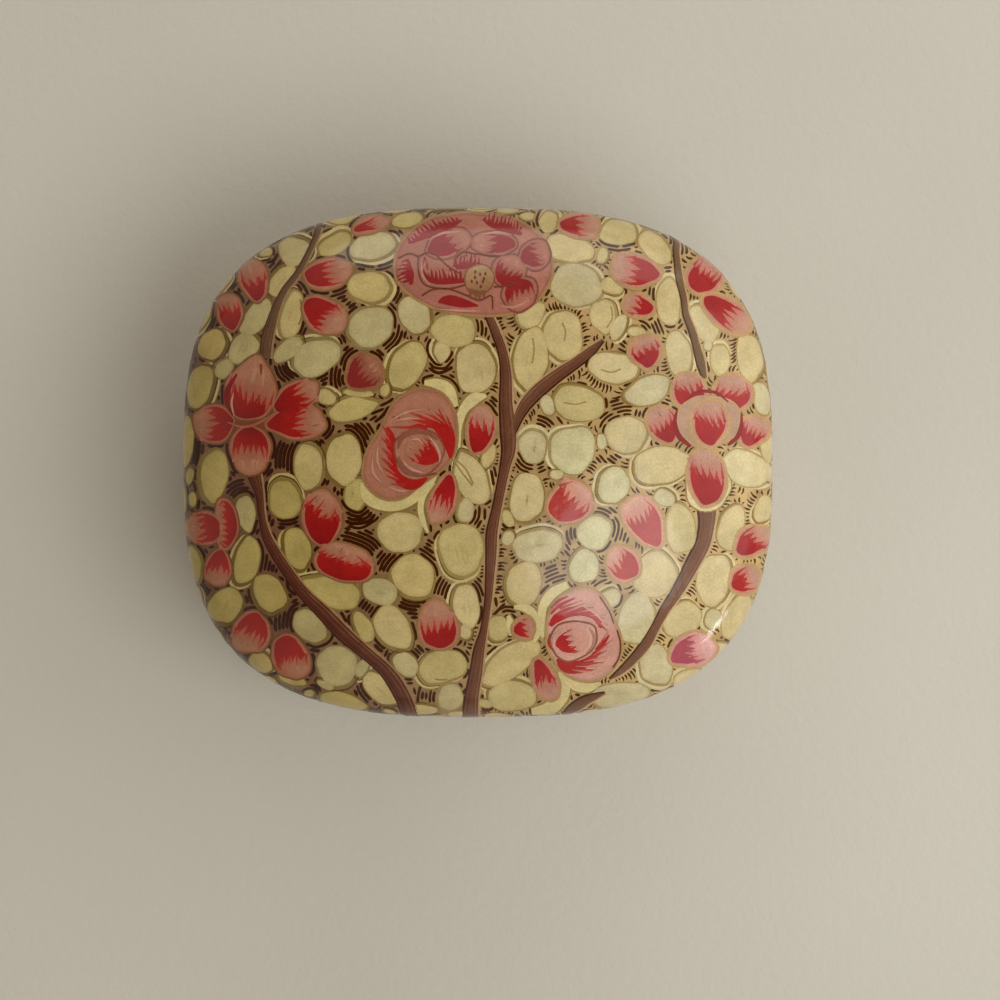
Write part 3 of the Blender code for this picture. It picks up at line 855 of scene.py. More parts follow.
    def leaf(self, x, y, length, width, angle, point=0.0, tints=None):
        """A cream leaf with its khaki line and, by some, a pale crescent past the line."""
        east = self.east(x, y)
        khaki = mix(*KHAKI, east)
        tint = mix(*(tints or self.dice.choice(CREAMS)), east)
        tint = mix(tint, khaki, self.dice.uniform(0.0, 0.1))
        outline = self.shape(x, y, length, width, angle, point)
        side = self.dice.uniform(0, 2 * math.pi)
        size = min(length, width)
        out = sideways(outline, closed=True)
        lean = out @ np.array([math.cos(side), math.sin(side)])
        outer = np.clip(0.14 + 0.06 * size, 0.18, 0.4) * (1.0 + 0.7 * lean) * (1.05 - 0.5 * east)
        outer = np.maximum(outer, 0.08)
        if self.dice.random() < 0.45 and size > 1.6:
            pale = outline + out * (outer - 0.05 + 0.55 * np.clip(lean + 0.1, 0, 1) ** 0.7)[:, None]
            under = mix(mix(*UNDER_CREAM, east), tint, 0.5)
            self.patch("borders", pale, UNDER_LIFT, under, rim=tint)
            self.note(pale)
        else:
            self.note(outline + out * outer[:, None])
        line = mix(khaki, tint, self.dice.uniform(0, 0.3))
        self.ring("borders", outline, -0.12, outer, RING_LIFT, line)
        if self.dice.random() < 0.8 - 0.15 * east:
            dark = mix(khaki, mix(*HATCH_DARK, east), 0.62 - 0.3 * east)
            self.dark_edge(outline + out * outer[:, None], lean, dark)
        near = mix(tint, khaki, self.dice.uniform(0.04, 0.26))
        rim = mix(tint, khaki, 0.24)
        self.patch("leaves", outline, LEAF_LIFT, near, tint, self.dice.uniform(0, 360), rim)
        if size > 2.6 and self.dice.random() < 0.4:
            self.soft_marks(x, y, length, width, angle, mix(tint, khaki, 0.2))

    def dark_edge(self, outline, lean, tint):
        """A fine dark line along a part of a leaf's border, on the side that it leans to."""
        count = len(outline)
        middle = int(np.argmax(lean)) + self.dice.randint(-2, 2)
        reach_out = round(count * self.dice.uniform(0.1, 0.24))
        spots = [(middle + step * reach_out // 3) % count for step in range(-3, 4)]
        widths = (0.08, 0.16, 0.22, 0.24, 0.22, 0.16, 0.08)
        run = [(*outline[spot], width) for spot, width in zip(spots, widths)]
        self.stroke("borders", run, LEAF_LIFT - 0.006, tint)

    def soft_marks(self, x, y, length, width, angle, tint):
        """One to three faint brush marks along the middle of a leaf."""
        c, s = heading(angle)
        for _ in range(self.dice.randint(1, 3)):
            across = self.dice.uniform(-0.18, 0.18) * width
            start = self.dice.uniform(-0.3, 0.0) * length
            end = start + self.dice.uniform(0.2, 0.36) * length
            bend = self.dice.uniform(-0.06, 0.06) * length
            broad = self.dice.uniform(0.3, 0.6)
            spots = ((start, 0, 0.1), ((start + end) / 2, bend, broad), (end, 0, 0.1))
            run = [(x + a * c - (across + b) * s, y + a * s + (across + b) * c, w) for a, b, w in spots]
            self.stroke("leaves", run, VEIN_LIFT - 0.004, tint)

    def curved_leaf(self, points):
        """A long curved leaf with a khaki line along each side."""
        east = self.east(*points[0][:2])
        tint = mix(*CURVED_CREAM, east)
        wide = [(x, y, width + 0.5) for x, y, width in points]
        self.stroke("borders", wide, RING_LIFT, mix(mix(*KHAKI, east), tint, 0.1))
        self.stroke("leaves", points, LEAF_LIFT + 0.004, tint)
        self.note_stroke(wide)

    def spike(self, start, end, width, lift, tint, far_tint=None, shares=(1, 0.62, 0.07)):
        """A stroke that is broad at its start and pointed at its end."""
        spots = [start, start + (end - start) * 0.45, end]
        points = [(*spot, width * share) for spot, share in zip(spots, shares)]
        self.stroke("petals", points, lift, tint, far_tint=far_tint)

    def teeth(self, points, length, aim, lift, tint):
        """Pointed strokes that start along a path and all run out at about one angle."""
        path = smooth_path(points, 0.72)
        for index, (x, y, width) in enumerate(path[:-1]):
            way = heading(aim + self.dice.uniform(-9, 9))
            far = length * self.dice.uniform(0.6, 1.15) + width * 0.4
            start = np.array([x, y])
            self.spike(start, start + way * far, 0.9, lift + PLY * (index % 3), tint)

    def petal(
        self, x, y, length, width, angle, narrow=-0.4, lean=None, slant=None, share=None,
        lift=0.0, red=None, pinks=None, line=None
    ):
        """A pink petal or bud with a red foot, which pointed strokes of the pink run down into."""
        east = self.east(x, y)
        near, far = pinks or (mix(*PINK_BASE, east), mix(*PINK_TIP, east))
        wine = red or mix(*WINES, east)
        red = red or mix(*REDS, east)
        line = line or mix(*PETAL_EDGE, east)
        lean = self.dice.uniform(-0.2, 0.2) if lean is None else lean
        slant = self.dice.uniform(-16, 16) if slant is None else slant
        share = self.dice.uniform(0.58, 0.68) if share is None else share
        middle = np.array([x, y])
        way = heading(angle)
        left = np.array([-way[1], way[0]])
        outline = self.shape(x, y, length, width, angle, narrow, fewest=30)
        edge = 0.22 + 0.12 * east
        self.ring("petals", outline, -0.12, edge, PETAL_RING_LIFT + lift, line)
        rim = mix(mix(near, far, 0.5), line, 0.3)
        self.patch("petals", outline, PETAL_LIFT + lift, near, far, angle, rim)
        self.note(outline + sideways(outline, closed=True) * edge)
        high = STROKE_LIFT + lift
        for _ in range(round(0.6 * width)):
            across = self.dice.uniform(-0.22, 0.22) * width
            spots = ((share - 0.4, 1.0, 0.12), (0.2, 0.9, self.dice.uniform(0.3, 0.5)), (0.38, 0.7, 0.1))
            run = [(*(middle + way * length * a + left * across * b), w) for a, b, w in spots]
            pale = mix(far, self.dice.choice((near, PINK_LIGHT[0])), 0.4)
            self.stroke("petals", run, high - PLY, pale, 0.8)

        def top(across):
            """How far along the petal the red reaches, at a place across it."""
            return (share - 0.5) * length + lean * across + 0.1 * length * (2 * across / width) ** 2

        along = (outline - middle) @ way
        across = (outline - middle) @ left
        inset = 1 - self.dice.uniform(0.7, 1.0) / width
        shape_along = np.minimum(along * (1 - 0.4 / length), top(across * inset))
        bowl = middle + np.outer(shape_along, way) + np.outer(across * inset, left)
        self.patch("petals", bowl, high, mix(wine, red, self.dice.uniform(0, 0.4)), red, angle)

        near_top = np.abs(along - top(across)) < 0.16 * length
        half = (np.abs(across[near_top]).max() if near_top.any() else width / 3) * inset
        bold = 1 + abs(slant) / 80
        count = max(3, round(2 * half / (self.dice.uniform(0.72, 0.98) * bold)))
        space = 2 * half / count
        for tooth in range(count + 1):
            side = 2 * tooth / count - 1
            at = side * half
            turn = math.radians(slant - 8 * side + self.dice.uniform(-5, 5))
            if tooth < count:
                spot = at + space / 2
                tints = (mix(near, far, min(share + 0.1, 1)), mix(near, red, 0.3))
                root = middle + left * spot
                self.pink_stroke(root, way, left, top(spot), turn, length, space, high, tints)
            low = top(at) - 0.16 * length
            rise = length * self.dice.uniform(0.08, 0.22) * bold + 0.06 * length * abs(side)
            room = 0.43 * width * math.sqrt(max(1 - (2 * (low + rise) / length) ** 2, 0.04))
            end_across = min(max(at - rise * math.sin(turn), -room), room)
            start = middle + way * low + left * at * 0.96
            end = middle + way * min(low + rise * math.cos(turn), 0.4 * length) + left * end_across
            self.spike(start, end, 0.5 * space, high + 3 * PLY, red, mix(red, near, 0.45))

    def pink_stroke(self, spot, way, left, top, turn, length, space, high, tints):
        """A stroke from a petal's pink down into its red, starting a little past the red's top."""
        rise = 0.12 * length
        deep = length * self.dice.uniform(0.1, 0.27)
        start = spot + way * (top + rise * math.cos(turn)) - left * rise * math.sin(turn)
        end = spot + way * (top - deep * math.cos(turn)) + left * deep * math.sin(turn)
        ply = high + PLY * (1 + self.dice.randint(0, 1))
        self.spike(start, end, space * 1.2, ply, *tints, (1, 0.86, 0.06))

    def comb(self, points, length, aim, lift, tint, pink):
        """A red stroke with a row of pointed teeth that run out from it, and pink ones into it."""
        self.stroke("petals", points, lift, tint)
        self.teeth(points, length, aim, lift + 0.004, tint)
        path = smooth_path(points, 0.72)
        for x, y, width in (path[:-1] + path[1:]) / 2:
            away = heading(aim + self.dice.uniform(-9, 9))
            start = np.array([x, y]) + away * (0.5 * width + 0.5 * length)
            end = np.array([x, y]) + away * width * self.dice.uniform(0.0, 0.3)
            self.spike(start, end, 0.36, lift + 0.02, pink, mix(pink, tint, 0.3), (0.6, 1, 0.06))

    def rose(self, rose, red, pink, shade):
        """A round many-petalled flower on one pink ground."""
        outline = closed_path(rose.outline, self.MOST_POINTS)
        edge = mix(*PETAL_EDGE, self.east(*outline[0]))
        self.ring("petals", outline, -0.2, 0.34, PETAL_RING_LIFT, edge)
        self.patch("petals", outline, PETAL_LIFT, pink, shade, 200, rim=mix(shade, ROSE_LINE, 0.3))
        self.note(outline + sideways(outline, closed=True) * 0.34)
        for values in rose.petals:
            self.petal(*values, lift=0.02, red=red, pinks=(shade, pink), line=mix(shade, ROSE_LINE, 0.7))
        for points, length, aim in rose.combs:
            self.comb(points, length, aim, COMB_LIFT, red, pink)
        for points in rose.bands:
            self.stroke("petals", points, COMB_LIFT, red)
        for spikes, lift, tints in (
            (rose.spikes, SPIKE_LIFT, (red, mix(red, pink, 0.3))),
            (rose.pinks, PINK_LIFT, (mix(pink, red, 0.1), mix(pink, red, 0.35))),
        ):
            for index, (x, y, far_x, far_y, width) in enumerate(spikes):
                start, end = np.array([x, y]), np.array([far_x, far_y])
                self.spike(start, end, width, lift + PLY * (index % 3), *tints)
        for line in rose.lines:
            self.stroke("petals", [(x, y, 0.26) for x, y in line], LINE_LIFT, ROSE_LINE)
        for line in rose.lights:
            points = [(x, y, 0.4) for x, y in line]
            points[0] = (*points[0][:2], 0.1)
            points[-1] = (*points[-1][:2], 0.1)
            self.stroke("petals", points, LINE_LIFT, mix(pink, PINK_LIGHT[1], 0.3))

    def heart(self, heart, red, pink, shade):
        """The curled petal in a rose's middle."""
        curl = leaf_outline(self.dice, *heart.disc)
        self.ring("petals", curl, -0.1, 0.25, HEART_LIFT, mix(ROSE_LINE, pink, 0.2))
        self.patch("petals", curl, HEART_LIFT + 0.01, shade, pink, 150)
        for points in heart.shades:
            self.stroke("petals", points, HEART_LIFT + 0.016, mix(shade, ROSE_LINE, 0.5))
        line = mix(shade, ROSE_LINE, 0.35)
        self.petal(*heart.petal, lift=0.09, red=red, pinks=(shade, pink), line=line)
        for points in heart.lights:
            self.stroke("petals", points, HEART_LIFT + 0.1, mix(pink, PINK_LIGHT[1], 0.35))

    def eye(self, x, y, length, width, angle):
        """The brown seed head in the top rose."""
        shape = leaf_outline(self.dice, x, y, length, width, angle)
        self.ring("petals", shape, -0.1, 0.2, EYE_LIFT, mix(ROSE_EYE, ROSE_LINE, 0.5))
        self.patch("petals", shape, EYE_LIFT + 0.01, ROSE_EYE, mix(ROSE_EYE, CREAMS[0][1], 0.25), 90)
        dots = 9
        for dot in range(dots):
            turn = 2 * math.pi * dot / dots
            far = 0.28 if dot % 2 else 0.16
            spot = (x + length * far * math.cos(turn), y + width * far * math.sin(turn), 0.55, 0.4, 90)
            self.patch("petals", leaf_outline(self.dice, *spot, 0, 10), EYE_LIFT + 0.02, ROSE_LINE)
        fringe = [(x - 1.2, y - 1.5, 0.2), (x, y - 1.8, 0.2), (x + 1.2, y - 1.5, 0.2)]
        self.teeth(fringe, 1.3, -90, EYE_LIFT + 0.02, mix(ROSE_EYE, ROSE_LINE, 0.6))

    def stem(self, points, browns=STEM_BROWN):
        """A streaky brown stem, darker along one edge, with a tan line along the other."""
        east = self.east(*points[len(points) // 2][:2])
        tint = mix(*STEM_TAN, east)
        brown = mix(*browns, east)
        tan = [(x, y, width + 0.45) for x, y, width in points]
        self.stroke("stems", tan, STEM_LIFT - 0.028, tint, shift=-0.08)
        dark = [(x, y, width + 0.12) for x, y, width in points]
        self.stroke("stems", dark, STEM_LIFT - 0.014, mix(brown, STEM_DARK, 0.75), shift=0.08)
        self.stroke("stems", points, STEM_LIFT, brown, shift=-0.05)
        path = smooth_path(points, 1.6)
        out = sideways(path[:, :2])
        streaky = 1 - 0.65 * east
        streaks = ((0.24, STEM_DARK, 0.5), (-0.04, STEM_TAN[0], 0.16), (-0.3, tint, 0.36))
        for side, other, share in streaks:
            tone = mix(brown, other, share * streaky)
            middle = path[:, :2] + out * path[:, 2:3] * side
            wide = np.clip((path[:, 2] - 1.0) * 0.3, 0.08, 0.34)
            wide = wide * (0.8 + 0.35 * np.sin(np.arange(len(wide)) * 2.1 + 9 * side))
            self.stroke("stems", np.column_stack([middle, wide]), STEM_LIFT + 0.008, tone)
        self.note_stroke(tan)


def within(part, x, y):
    """Whether a place lies in a part of the lid's top."""
    return part[0] < x < part[1] and part[2] < y < part[3]


def paint_lid_top(brush):
    """The lid's painting where the photograph shows it."""
    for values in LEAVES:
        green = within(GREEN_PART, *values[:2]) and brush.dice.random() < GREEN_SHARE
        brush.leaf(*values, tints=PALE_GREEN if green else None)
    for points in CURVED_LEAVES:
        brush.curved_leaf(points)
    for points in VEINS:
        line = [(x, y, 0.28) for x, y in points]
        east = brush.east(*points[0])
        brush.stroke("leaves", line, VEIN_LIFT, mix(mix(*KHAKI, east), mix(*CREAMS[0], east), 0.2))
    for points in STEMS:
        brush.stem(points, UPPER_STEMS if points[0][1] > 30 else STEM_BROWN)
    core = leaf_outline(brush.dice, *LEFT_FLOWER_CORE)
    brush.patch("petals", core, PETAL_RING_LIFT - 0.012, mix(PETAL_EDGE[0], WINES[0], 0.35))
    brush.note(core)
    for values in PETALS:
        # Petals in the sheen part get paler colours, as painted sheen
        brush.petal(*values, **(SHEEN_COLOURS if within(SHEEN_PART, *values[:2]) else {}))
    for points, tint in GREAT_PETAL_STROKES:
        brush.stroke("petals", points, STROKE_LIFT + 5 * PLY, tint)
    brush.petal(*MUDDY_BUD, **MUDDY_COLOURS)
    brush.petal(*PURPLE_BUD, **PURPLE_COLOURS)
    disc, heart = DISC_PETALS
    outline = leaf_outline(brush.dice, *disc)
    brush.ring("petals", outline, -0.2, 0.2, PETAL_LIFT + 0.03, PETAL_EDGE[1])
    brush.patch("petals", outline, PETAL_LIFT + 0.04, mix(PINK_TIP[1], KHAKI[1], 0.3), PINK_TIP[1], 90)
    for points in DISC_CRESCENTS:
        brush.stroke("petals", points, STROKE_LIFT + 0.04, ROSE_RED)
    brush.petal(*heart, lift=0.07)
    pear_bud(brush)
    brush.rose(TOP_ROSE, ROSE_RED, ROSE_PINK, mix(ROSE_PINK, ROSE_LINE, 0.25))
    brush.eye(*TOP_ROSE_EYE)
    pink = mix(ROSE_PINK, PINK_TIP[0], 0.5)
    red = mix(*REDS, 0.4)
    shade = mix(pink, ROSE_LINE, 0.3)
    brush.rose(LEFT_ROSE, red, pink, mix(pink, ROSE_LINE, 0.16))
    brush.heart(LEFT_HEART, red, pink, shade)
    brush.rose(RIGHT_ROSE, REDS[1], *RIGHT_ROSE_PINK)
    brush.heart(RIGHT_HEART, REDS[1], *RIGHT_ROSE_PINK)


def pear_bud(brush):
    """The bud under the right flower, narrow above, with a cream border round its foot."""
    border = brush.shape(*PEAR_BORDER)
    brush.ring("petals", border, -0.1, 0.16, PETAL_RING_LIFT - 0.02, KHAKI[1])
    brush.patch("petals", border, PETAL_RING_LIFT - 0.01, CREAMS[0][1], CREAMS[1][1], 90)
    brush.note(border)
    brush.petal(*PEAR_BUD)


def paint_blossom(brush, x, y, turn):
    """A flower of round petals about a middle petal, as on the lid's left and right."""
    petals = 5
    for petal in range(petals):
        angle = turn + 360 / petals * petal
        way = math.radians(angle)
        brush.petal(x + 3.6 * math.cos(way), y + 3.6 * math.sin(way), 5.6, 4.9, angle)
    brush.petal(x, y, 5.4, 5.0, 90, lift=0.05)


def round_the_box(angle):
    """How far round the outline an angle in degrees lies, in millimetres."""
    return float(np.interp(math.radians(angle % 360), ANGLES, ROUND))


def paint_base_flowers(brush):
    """Stems that climb the base's side, with blossoms and buds between them."""
    room = 14  # millimetres between two stems that leave room for flowers
    wide_room = 24  # and for a twig and two more buds
    feet = [round_the_box(angle) for angle, _ in SIDE_STEMS]
    for index, (start, (_, width)) in enumerate(zip(feet, SIDE_STEMS)):
        lean = brush.dice.uniform(-1.6, 1.6)
        points = [(start + lean, 1.6, width * 1.5), (start + lean * 0.6, 9.0, width * 1.2)]
        points += [(start + lean * 0.1, 17.0, width * 1.05), (start, BASE_RIM - 1.0, width)]
        brush.stem(points)
        gap = (feet[(index + 1) % len(feet)] - start) % PERIMETER
        if gap < room:
            continue
        middle = start + gap * 0.54
        y = brush.dice.uniform(11.6, 13.6)
        if index % 2:
            paint_blossom(brush, middle, y, brush.dice.uniform(0, 72))
        else:
            brush.petal(middle - 3.0, y + 3.8, 7.4, 5.6, 96)
            brush.petal(middle + 3.4, y - 3.4, 7.6, 5.4, 40)
        if gap > wide_room:
            twig = [(start, 8.6, 1.0), (start + 2.0, 14.2, 0.9), (start + 4.6, 17.2, 0.7)]
            brush.stem(twig)
            brush.petal(start + 6.0, 19.8, 6.0, 4.6, 50)
            brush.petal(start + gap - 5.4, 6.4, 6.0, 4.6, brush.dice.uniform(80, 130))


def paint_band_flowers(brush):
    """Where the crown's stems run down the lid's upright band, and buds between them."""
    feet = []
    for angle, width, top in LID_STEMS:
        start = round_the_box(angle)
        feet.append(start)
        points = [(start, top, width), (start, 32.0, width), (start, LID_RIM + 1.0, width)]
        brush.stem(points)
    buds = 11
    least_clear = 5  # millimetres between a bud and a stem
    for bud in range(buds):
        x = PERIMETER / buds * (bud + 0.4)
        clear = min(abs((x - foot + PERIMETER / 2) % PERIMETER - PERIMETER / 2) for foot in feet)
        if clear > least_clear:
            brush.petal(x, 31.0, 6.4, 4.8, brush.dice.choice((80, 100, 20, 160)))


def points_of(brush, inside):
    """Places on the box of the brush's motifs: outlines, and points inside if asked."""
    found = []
    for outline in brush.motifs:
        middle = outline.mean(axis=0)
        shares = (1, 0.55, 0.1) if inside else (1,)
        found.append(brush.chart(rings_of(outline, middle, shares).reshape(-1, 2)))
    return found


def fill_with_leaves(brush, taken, low, high):
    """Packs leaves into the free places of the side between two heights."""
    largest, smallest = 2.7, 0.8  # a leaf's radius
    step = 0.6
    across = np.arange(0, PERIMETER, step)
    up = np.arange(low, high, step)
    grid = np.stack(np.meshgrid(across, up, indexing="ij"), axis=-1).reshape(-1, 2)
    places = brush.chart(grid)
    tree = KDTree(len(taken))
    for index, place in enumerate(taken):
        tree.insert(place, index)
    tree.balance()
    free = np.array([tree.find(place)[2] for place in places]) - 0.55
    free = np.minimum(free, np.minimum(grid[:, 1] - low, high - grid[:, 1]) + 0.4)
    while True:
        room = np.minimum(free, largest)
        radius = room.max()
        if radius < smallest:
            return
        best = int(brush.dice.choice(list(np.flatnonzero(room > radius - 0.05))))
        radius = float(room[best])
        middle = grid[best]
        longest = (0.0, 0.0)
        for angle in range(0, 180, 30):
            way = heading(angle) * radius
            ends = np.stack([middle + way, middle - way])
            columns = np.round(ends[:, 0] / step).astype(int) % len(across)
            rows = np.clip(np.round((ends[:, 1] - low) / step).astype(int), 0, len(up) - 1)
            longest = max(longest, (float(free[columns * len(up) + rows].min()), float(angle)))
        more = min(max(longest[0], 0) * 0.9, radius * 0.5)
        angle = longest[1] + brush.dice.uniform(-12, 12)
        width = 2 * radius * brush.dice.uniform(0.84, 0.96)
        brush.leaf(*middle, 2 * radius + 1.6 * more, width, angle, brush.dice.choice((0, 0, 0.3)))
        way = heading(angle) * more * 0.8
        spots = brush.chart(np.stack([middle - way, middle, middle + way]))
        away = np.sqrt(((places[:, None] - spots[None]) ** 2).sum(axis=2)).min(axis=1)
        free = np.minimum(free, away - radius - brush.dice.uniform(0.65, 1.3))


def evenly(outline, step):
    """Points spread evenly along a closed outline, about a step apart."""
    loop = np.vstack([outline, outline[:1]])
    far = lengths_along(loop)
    count = max(8, round(far[-1] / step))
    return points_along(loop, far, np.linspace(0, far[-1], count, endpoint=False))


class Hatcher:
    """Fills the ground between motifs with fine dark strokes, in arcs or in short ticks."""

    PITCH = 0.58  # between one line of strokes and the next
    STEP = 0.4  # between the points of an outline or of a stroke
    CLEARANCE = 0.36  # between strokes that belong to different motifs
    LINES = 5  # round one motif

    def __init__(self, brushes, layer, dice, limits):
        self.layer = layer
        self.dice = dice
        self.limits = limits
        self.motifs = []
        self.points = []
        self.outs = []
        for brush in brushes:
            for outline in brush.motifs:
                even = evenly(outline, self.STEP)
                out = sideways(even, closed=True)
                places = brush.chart(even)
                self.motifs.append((brush, even, out))
                self.points += list(places)
                self.outs += list(brush.chart(even + out * 0.3) - places)
        self.tree = KDTree(len(self.points))
        for index, point in enumerate(self.points):
            self.tree.insert(point, index)
        self.tree.balance()
        self.drawn = {}

    def cell(self, place):
        """The cell of a coarse grid that a place lies in."""
        return tuple(int(value // self.PITCH) for value in place)

    def free(self, place, owner):
        """Whether a place lies on bare ground, clear of what another motif's strokes fill."""
        if not self.limits[0] < place[2] < self.limits[1]:
            return False
        _, index, away = self.tree.find(place)
        if away < 0.1 or np.dot(place - self.points[index], self.outs[index]) < 0:
            return False
        x, y, z = self.cell(place)
        for i in (x - 1, x, x + 1):
            for j in (y - 1, y, y + 1):
                for k in (z - 1, z, z + 1):
                    for other, spot in self.drawn.get((i, j, k), ()):
                        if other != owner and np.abs(spot - place).max() < self.CLEARANCE:
                            return False
        return True

    def draw(self, brush, owner, run, comma=False):
        """One stroke with short pointed ends, or one that thins out like a comma."""
        east = brush.east(*run[0])
        thick = mix_number(HATCH_WIDTH, east) * self.dice.uniform(0.85, 1.15)
        path = smooth_path([(*point, thick) for point in run], self.STEP)
        if brush.length(path[:, :2]) > 1.4 * self.STEP * len(path):
            path = smooth_path([(*point, thick) for point in run], self.STEP / 2)
        if comma:
            path[:, 2] *= np.linspace(1.1, 0.4, len(path))
        path[0, 2] = path[-1, 2] = 0.12
        out = sideways(path[:, :2]) * path[:, 2:3] / 2
        grid = np.stack([path[:, :2] + out * side for side in (-1, -0.8, 0.8, 1)])
        lifts = np.tile([TUCK, HATCH_LIFT, HATCH_LIFT, TUCK], (len(path), 1))
        self.layer.add(brush.chart, grid.transpose(1, 0, 2), lifts, mix(*HATCH_DARK, east), False)
        for place in brush.chart(path[:, :2]):
            self.drawn.setdefault(self.cell(place), []).append((owner, place))

    def arcs(self, owner, brush, outline, out):
        """Strokes that follow a motif's outline, line after line, until they meet others."""
        longest = mix_number(HATCH_LENGTH, brush.east(*outline[0])) / self.STEP
        for line in range(self.LINES):
            path = outline + out * (0.2 + self.PITCH * line)
            kept = [self.free(place, owner) for place in brush.chart(path)]
            if not any(kept):
                return
            if all(kept):
                kept[self.dice.randrange(len(kept))] = False
            start = kept.index(False)
            run = []
            limit = longest * self.dice.uniform(0.5, 1.1)
            for step in range(1, len(path) + 1):
                spot = (start + step) % len(path)
                if kept[spot] and len(run) < limit:
                    run.append(path[spot])
                    continue
                if len(run) > 2:
                    self.draw(brush, owner, run[::2] + [run[-1]] * (len(run) % 2 == 0))
                    limit = longest * self.dice.uniform(0.6, 1.2)
                run = [path[spot]] if kept[spot] else []

    def ticks(self, owner, brush, outline, out):
        """Short strokes that stand along a motif's outline like a fringe, all leaning alike."""
        turn = math.radians(self.dice.uniform(-40, 40))
        c, s = math.cos(turn), math.sin(turn)
        out = np.stack([out[:, 0] * c - out[:, 1] * s, out[:, 0] * s + out[:, 1] * c], axis=1)
        for point, way in zip(outline, out):
            run = []
            for step in range(self.dice.randint(5, 8)):
                spot = point + way * (0.1 + 0.2 * step)
                if not self.free(brush.chart(spot[None])[0], owner):
                    break
                run.append(spot)
            if len(run) > 2:
                bend = np.array([-way[1], way[0]]) * 0.12
                self.draw(brush, owner, [run[0], run[len(run) // 2] + bend, run[-1]], comma=True)

    def hatch(self):
        """Hatches round every motif, and then once more in what is still bare."""
        order = list(range(len(self.motifs)))
        self.dice.shuffle(order)
        for turn in range(2):
            for index in order:
                brush, outline, out = self.motifs[index]
                owner = index + turn * len(order)
                if self.dice.random() < 0.85 * brush.east(*outline[0]) - 0.1:
                    even = evenly(outline, 0.5)
                    self.ticks(owner, brush, even, sideways(even, closed=True))
                else:
                    self.arcs(owner, brush, outline, out)


def rim_line(brush, height):
    """A gilt line round the box at one height."""
    round_box = np.linspace(0, PERIMETER, 241)
    low, high = height - RIM_LINE_WIDTH / 2, height + RIM_LINE_WIDTH / 2
    columns = [low, low + 0.03, high - 0.03, high]
    grid = np.stack([np.stack([round_box, np.full_like(round_box, z)], axis=1) for z in columns])
    lifts = np.array([TUCK, RIM_LINE_LIFT, RIM_LINE_LIFT, TUCK])[:, None]
    brush.layers["borders"].add(brush.chart, grid[:, :-1], lifts, GOLD, True)


def noise_node(tree, coordinates, scale, detail=2.0, roughness=0.5):
    """Cloudy noise over coordinates."""
    noise = tree.nodes.new("ShaderNodeTexNoise")
    noise.inputs["Scale"].default_value = scale
    noise.inputs["Detail"].default_value = detail
    noise.inputs["Roughness"].default_value = roughness
    tree.links.new(coordinates, noise.inputs["Vector"])
    return noise.outputs["Fac"]


def ramp_node(tree, factor, stops):
    """A colour ramp with given stops, each a place and a grey or a colour."""
    ramp = tree.nodes.new("ShaderNodeValToRGB")
    while len(ramp.color_ramp.elements) < len(stops):
        ramp.color_ramp.elements.new(1)
    for element, (place, colour) in zip(ramp.color_ramp.elements, stops):
        element.position = place
        element.color = (*colour, 1) if isinstance(colour, tuple) else (colour, colour, colour, 1)
    tree.links.new(factor, ramp.inputs["Fac"])
    return ramp.outputs["Color"]


def multiply_node(tree, first, second, factor):
    """One colour times another, as strongly as a factor says."""
    blend = tree.nodes.new("ShaderNodeMix")
    blend.data_type = "RGBA"
    blend.blend_type = "MULTIPLY"
    blend.inputs["Factor"].default_value = factor
    tree.links.new(first, blend.inputs["A"])
    tree.links.new(second, blend.inputs["B"])
    return blend.outputs["Result"]


def bump_node(tree, height, distance, strength, normal=None):
    """A bump from a height, on top of another bump where one is given."""
    bump = tree.nodes.new("ShaderNodeBump")
    bump.inputs["Distance"].default_value = distance
    bump.inputs["Strength"].default_value = strength
    tree.links.new(height, bump.inputs["Height"])
    if normal is not None:
        tree.links.new(normal, bump.inputs["Normal"])
    return bump.outputs["Normal"]


def new_material(name):
    """A material with its nodes, its shader and the object's own coordinates."""
    material = bpy.data.materials.new(name)
    material.use_nodes = True
    tree = material.node_tree
    coordinates = tree.nodes.new("ShaderNodeTexCoord").outputs["Object"]
    return material, tree, tree.nodes["Principled BSDF"], coordinates


def lacquer(tree, shader, coordinates, roughness, coat, coat_roughness):
    """A clear lacquer over the paint, with the faint ripple of one laid on by brush."""
    shader.inputs["Roughness"].default_value = roughness
    shader.inputs["Coat Weight"].default_value = coat
    shader.inputs["Coat Roughness"].default_value = coat_roughness
    shader.inputs["Coat IOR"].default_value = 1.36
    shader.inputs["Specular IOR Level"].default_value = 0.0
    ripple = bump_node(tree, noise_node(tree, coordinates, 260, 2.0), 0.0002, 0.3)
    grit = bump_node(tree, noise_node(tree, coordinates, 1100, 3.0), 0.00003, 0.5, ripple)
    tree.links.new(grit, shader.inputs["Coat Normal"])


